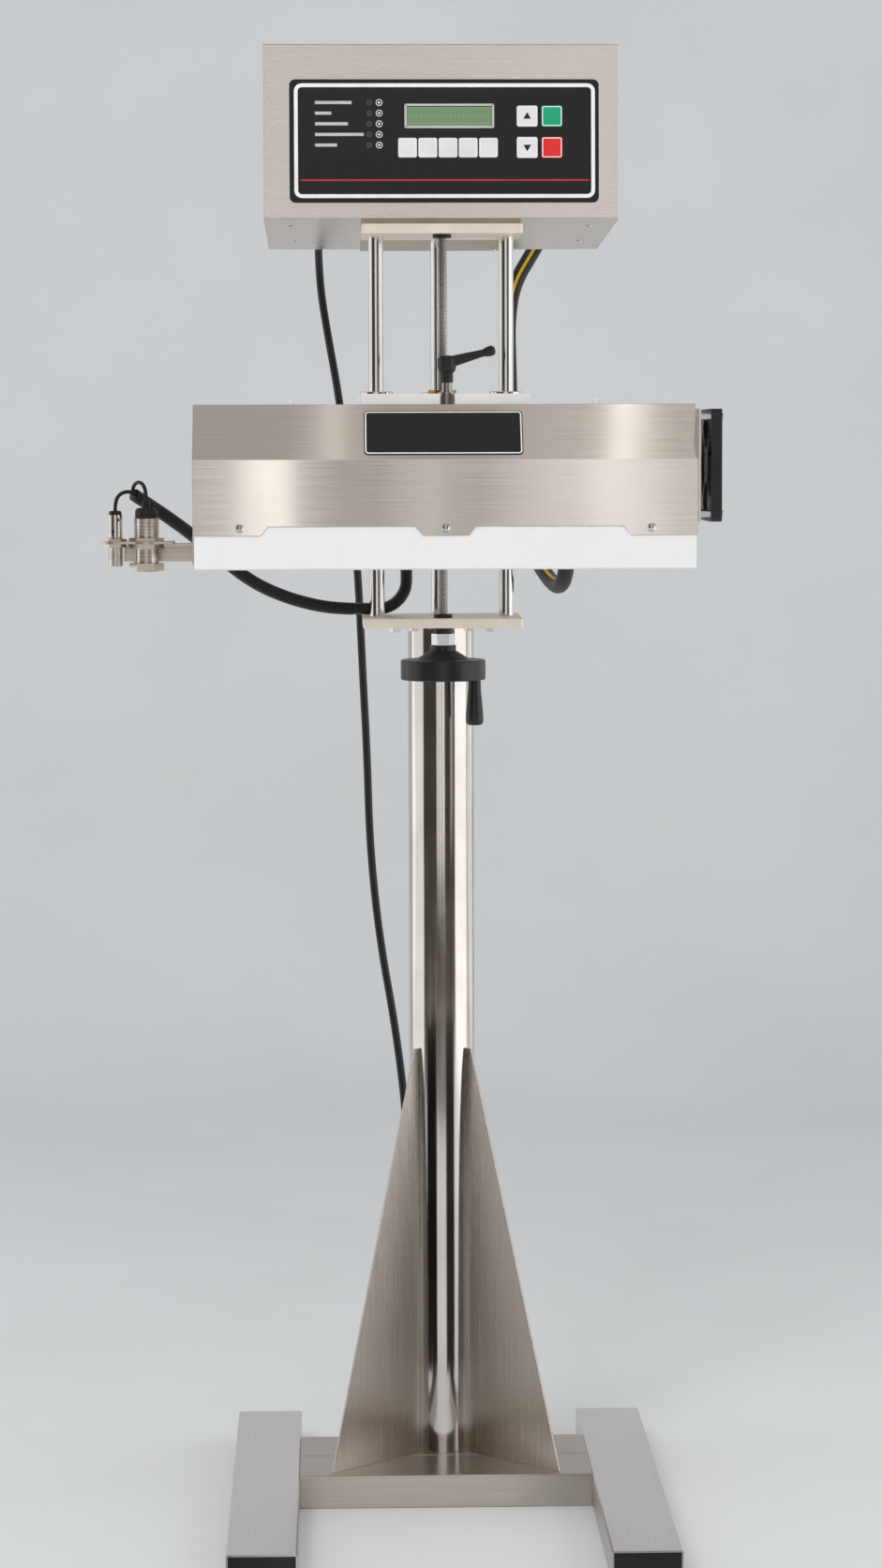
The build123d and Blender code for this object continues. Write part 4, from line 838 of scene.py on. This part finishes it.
arrow_drop = 0.5
panel_print("up_arrow", print_black, [
    lambda bm: arrow(bm, upper_row - arrow_drop, 0.0),
], "up_key_cap")
panel_print("down_arrow", print_black, [
    lambda bm: arrow(bm, lower_row + arrow_drop, math.pi),
], "down_key_cap")

# Blank name plate on the head's slanted face: black with a white border line
cover_top, cover_fold, slant_run = 1318.5, 1254.8, 43.0
slant = math.atan2(slant_run, cover_top - cover_fold)
plate_frame = Matrix.Translation((-1.9 * mm, -199.4 * mm, 1285.4 * mm)) @ Matrix.Rotation(-slant, 4, "X")
plate_width, plate_height, plate_thickness, line_inset = 184.0, 61.0, 0.7, 1.3
panel_print("name_plate", overlay_film, [
    lambda bm: rounded_plate(
        bm, plate_width, plate_height, corner=5.0, centre=(0, 0), proud=0.0, thickness=plate_thickness
    ),
], "head", plate_frame)
panel_print("name_plate_line", print_white, [
    lambda bm: rounded_plate(
        bm, plate_width - 2 * line_inset, plate_height - 2 * line_inset, corner=4.0, centre=(0, 0),
        proud=plate_thickness, thickness=0.1, ring=1.5,
    ),
], "head", plate_frame)


# Studio: floor and backdrop in one pale sweep, and two dark cards

def stage_object(name, bm, material):
    """Turns a bmesh into an object of the studio, which isn't part of the model."""
    mesh = bpy.data.meshes.new(name)
    bm.to_mesh(mesh)
    bm.free()
    mesh.materials.append(material)
    made = bpy.data.objects.new(name, mesh)
    bpy.context.scene.collection.objects.link(made)
    return made


def backdrop():
    """A matt pale sweep, clear from behind and below, so that a view from the rear looks through it."""
    material, tree, shader = surface("pale studio sweep", "#e6e8e9", 0.6)
    rear = add(tree, "ShaderNodeNewGeometry").outputs["Backfacing"]
    clear = add(tree, "ShaderNodeBsdfTransparent").outputs[0]
    one_sided = add(tree, "ShaderNodeMixShader", {0: rear, 1: shader.outputs["BSDF"], 2: clear})
    output = next(node for node in tree.nodes if node.type == "OUTPUT_MATERIAL")
    tree.links.new(one_sided.outputs[0], output.inputs["Surface"])
    cloud = noise_on(tree, (2.0, 2.0, 2.0), 3.0)
    tint(tree, shader, spread(tree, cloud, 0.0, 1.0), "#e4e6e7", "#e9ebec")
    # In metres, and the bend's steps
    half_width, floor_end, bend, top, steps = 10.0, 2.6, 1.4, 5.5, 16
    profile = [(-floor_end, 0.0), (floor_end, 0.0)]
    for i in range(1, steps + 1):
        angle = math.pi / 2 * i / steps
        profile.append((floor_end + bend * math.sin(angle), bend - bend * math.cos(angle)))
    profile.append((floor_end + bend, top))
    bm = bmesh.new()
    line = [bm.verts.new((-half_width, y, z)) for y, z in profile]
    edges = [bm.edges.new(pair) for pair in zip(line, line[1:])]
    grown = bmesh.ops.extrude_edge_only(bm, edges=edges)["geom"]
    bmesh.ops.translate(bm, verts=points_of(grown), vec=(2 * half_width, 0, 0))
    # In front of the rear part the floor ends at the side lamps
    front_part_ends, side_lamps = 1.8, 2.55
    for place in ((0, front_part_ends, 0), (side_lamps, 0, 0), (-side_lamps, 0, 0)):
        everything = bm.verts[:] + bm.edges[:] + bm.faces[:]
        across = (0, 1, 0) if place[1] else (1, 0, 0)
        bmesh.ops.bisect_plane(bm, geom=everything, plane_co=place, plane_no=across)
    centres = [(face, face.calc_center_median()) for face in bm.faces]
    beside = [face for face, at in centres if at.y < front_part_ends and abs(at.x) > side_lamps]
    bmesh.ops.delete(bm, geom=beside, context="FACES")
    bmesh.ops.recalc_face_normals(bm, faces=bm.faces)
    lowest = min(bm.faces, key=lambda face: face.calc_center_median().z)
    if lowest.normal.z < 0:
        bmesh.ops.reverse_faces(bm, faces=bm.faces)
    for face in bm.faces:
        face.smooth = True
    stage_object("studio_sweep", bm, material)


backdrop()


def dark_card(name, from_angle, to_angle, colour):
    """A curved card that only mirrors see: it draws the dark bands of the room down to the column's foot.

    Its angles are round the column, in degrees from the front.
    """
    reach, height = 0.62, 0.47
    material = surface(name, colour, 0.9, **{"Specular IOR Level": 0.0})[0]
    bm = bmesh.new()
    turn = Matrix.Rotation(math.radians(from_angle), 4, "Z")
    line = [bm.verts.new(turn @ Vector((0, -reach, z))) for z in (0.0, height)]
    bmesh.ops.spin(
        bm, geom=line + [bm.edges.new(line)], cent=(0, 0, 0), axis=(0, 0, 1),
        angle=math.radians(to_angle - from_angle), steps=12,
    )
    bmesh.ops.recalc_face_normals(bm, faces=bm.faces)
    card = stage_object(name, bm, material)
    card.visible_camera = card.visible_diffuse = card.visible_shadow = False


dark_card("dark_card_left", -55.0, -20.0, "#1c1917")
dark_card("dark_card_right", 12.0, 40.0, "#3a322e")


# Lamps. What the metal mirrors: tall side panels, panels and strips beside the camera, one overhead

def panel_lamp(name, place, target, width, height, radiance, mirrored=True):
    """A soft white area lamp whose face has the given radiance, where 1 shows as white."""
    lamp = bpy.data.lights.new(name, "AREA")
    lamp.shape = "RECTANGLE"
    lamp.size = width
    lamp.size_y = height
    lamp.energy = radiance * math.pi * width * height
    holder = bpy.data.objects.new(name, lamp)
    holder.location = place
    aim = Vector(target) - Vector(place)
    holder.rotation_euler = aim.to_track_quat("-Z", "Y").to_euler()
    holder.visible_glossy = mirrored
    bpy.context.scene.collection.objects.link(holder)


def front_lamp(name, left, right, bottom, top, radiance, behind=4.9):
    """An upright panel behind the camera. Those that overlap stand apart, so that their light adds up."""
    across, up = (left + right) / 2, (bottom + top) / 2
    panel_lamp(name, (across, -behind, up), (across, 0, up), right - left, top - bottom, radiance)


def ceiling_lamp(name, left, right, front, rear, radiance, height=4.0):
    """A level panel overhead."""
    across, along = (left + right) / 2, (front + rear) / 2
    panel_lamp(name, (across, along, height), (across, along, 0), right - left, rear - front, radiance)


panel_lamp("left_panel", (-2.6, 0.3, 1.4), (0, 0.3, 1.4), 2.9, 2.9, 0.85)
panel_lamp("right_panel", (2.6, -1.07, 1.4), (0, -1.07, 1.4), 2.7, 2.9, 1.25)
panel_lamp("right_rear_panel", (2.6, 1.45, 1.4), (0, 1.45, 1.4), 2.3, 2.9, 0.55)
front_lamp("front_left_panel", -1.55, -0.7, 0.2, 2.8, 0.75)
front_lamp("front_middle_panel", -0.7, 0.9, 0.2, 2.0, 0.37)
front_lamp("front_left_step", -0.7, -0.2, 0.2, 2.0, 0.18, behind=4.89)
front_lamp("front_left_strip", -0.33, -0.24, 0.2, 2.0, 1.8, behind=4.88)
front_lamp("front_centre_strip", 0.03, 0.15, 0.2, 2.0, 0.4, behind=4.88)
front_lamp("front_right_step", 0.25, 0.9, 0.2, 2.0, 0.36, behind=4.89)
front_lamp("front_right_strip", 0.45, 0.62, 0.2, 2.0, 0.6, behind=4.88)
front_lamp("front_high_panel", -0.75, 0.9, 2.0, 3.2, 0.72)
front_lamp("front_high_right_panel", 0.3, 0.9, 2.0, 3.2, 0.22, behind=4.89)
front_lamp("front_right_panel", 2.8, 4.2, 0.2, 2.8, 0.3)
panel_lamp("fold_panel", (0.1, -4.0, 3.8), (0.1, -0.2, 1.25), 2.6, 0.8, 1.3)
ceiling_lamp("ceiling_panel", -1.4, 1.4, -2.4, -0.4, 0.26)
ceiling_lamp("ceiling_right_panel", 0.2, 1.4, -2.4, -0.4, 0.15, height=3.99)
ceiling_lamp("ceiling_right_strip", 0.40, 0.46, -2.4, -0.4, 1.35, height=3.98)
ceiling_lamp("ceiling_left_strip", -0.15, -0.1, -2.4, -0.4, 0.7, height=3.98)
panel_lamp("key_lamp", (-1.7, -3.7, 3.5), (0, 0, 1.1), 1.6, 1.6, 8.5, mirrored=False)

world = bpy.data.worlds.new("studio")
bpy.context.scene.world = world
world.use_nodes = True
tree = world.node_tree
tree.nodes.clear()
light_path = add(tree, "ShaderNodeLightPath")
ambient = add(tree, "ShaderNodeBackground", {"Color": linear("#f3f4f6"), "Strength": 0.5})
# Metal mirrors a dark room level with it, and a paler one below and above
direction = add(tree, "ShaderNodeTexCoord").outputs["Generated"]
rise = add(tree, "ShaderNodeSeparateXYZ", {"Vector": direction}).outputs["Z"]
below = add(tree, "ShaderNodeMapRange", {
    "Value": rise, "From Min": -0.165, "From Max": -0.19,
}).outputs["Result"]
overhead = add(tree, "ShaderNodeMapRange", {
    "Value": rise, "From Min": 0.3, "From Max": 0.6, "To Max": 0.3,
}).outputs["Result"]
paler = add(tree, "ShaderNodeMath", {0: below, 1: overhead}, operation="MAXIMUM").outputs[0]
room = add(tree, "ShaderNodeMix", {0: paler, 6: linear("#433d39"), 7: linear("#d4cbc3")}, data_type="RGBA")
mirror = add(tree, "ShaderNodeBackground", {"Color": room.outputs[2], "Strength": 1.0})
seen = add(tree, "ShaderNodeBackground", {"Color": linear("#e9ebec"), "Strength": 1.0})
glossy = add(tree, "ShaderNodeMixShader", {
    0: light_path.outputs["Is Glossy Ray"], 1: ambient.outputs[0], 2: mirror.outputs[0],
})
final = add(tree, "ShaderNodeMixShader", {
    0: light_path.outputs["Is Camera Ray"], 1: glossy.outputs[0], 2: seen.outputs[0],
})
add(tree, "ShaderNodeOutputWorld", {"Surface": final.outputs[0]})

# Camera, fitted to the photograph: focal length and height in its pixels, place in metres, angles in radians
focal_pixels, photo_height, sensor_width = 4111.6, 1672.0, 36.0
camera_place = (-0.1320, -4.6713, 1.2705)
yaw, pitch, roll = 0.0282, 0.0875, -0.0028
camera_data = bpy.data.cameras.new("camera")
camera_data.sensor_width = sensor_width
camera_data.lens = sensor_width * focal_pixels / photo_height
camera = bpy.data.objects.new("camera", camera_data)
forward = Vector((math.sin(yaw) * math.cos(pitch), math.cos(yaw) * math.cos(pitch), -math.sin(pitch)))
level = Vector((math.cos(yaw), -math.sin(yaw), 0))
upward = level.cross(forward)
right = level * math.cos(roll) + upward * math.sin(roll)
above = upward * math.cos(roll) - level * math.sin(roll)
turn = Matrix((right, above, -forward)).transposed()
camera.matrix_world = Matrix.Translation(camera_place) @ turn.to_4x4()
bpy.context.scene.collection.objects.link(camera)
bpy.context.scene.camera = camera
bpy.context.scene.view_settings.view_transform = "Standard"
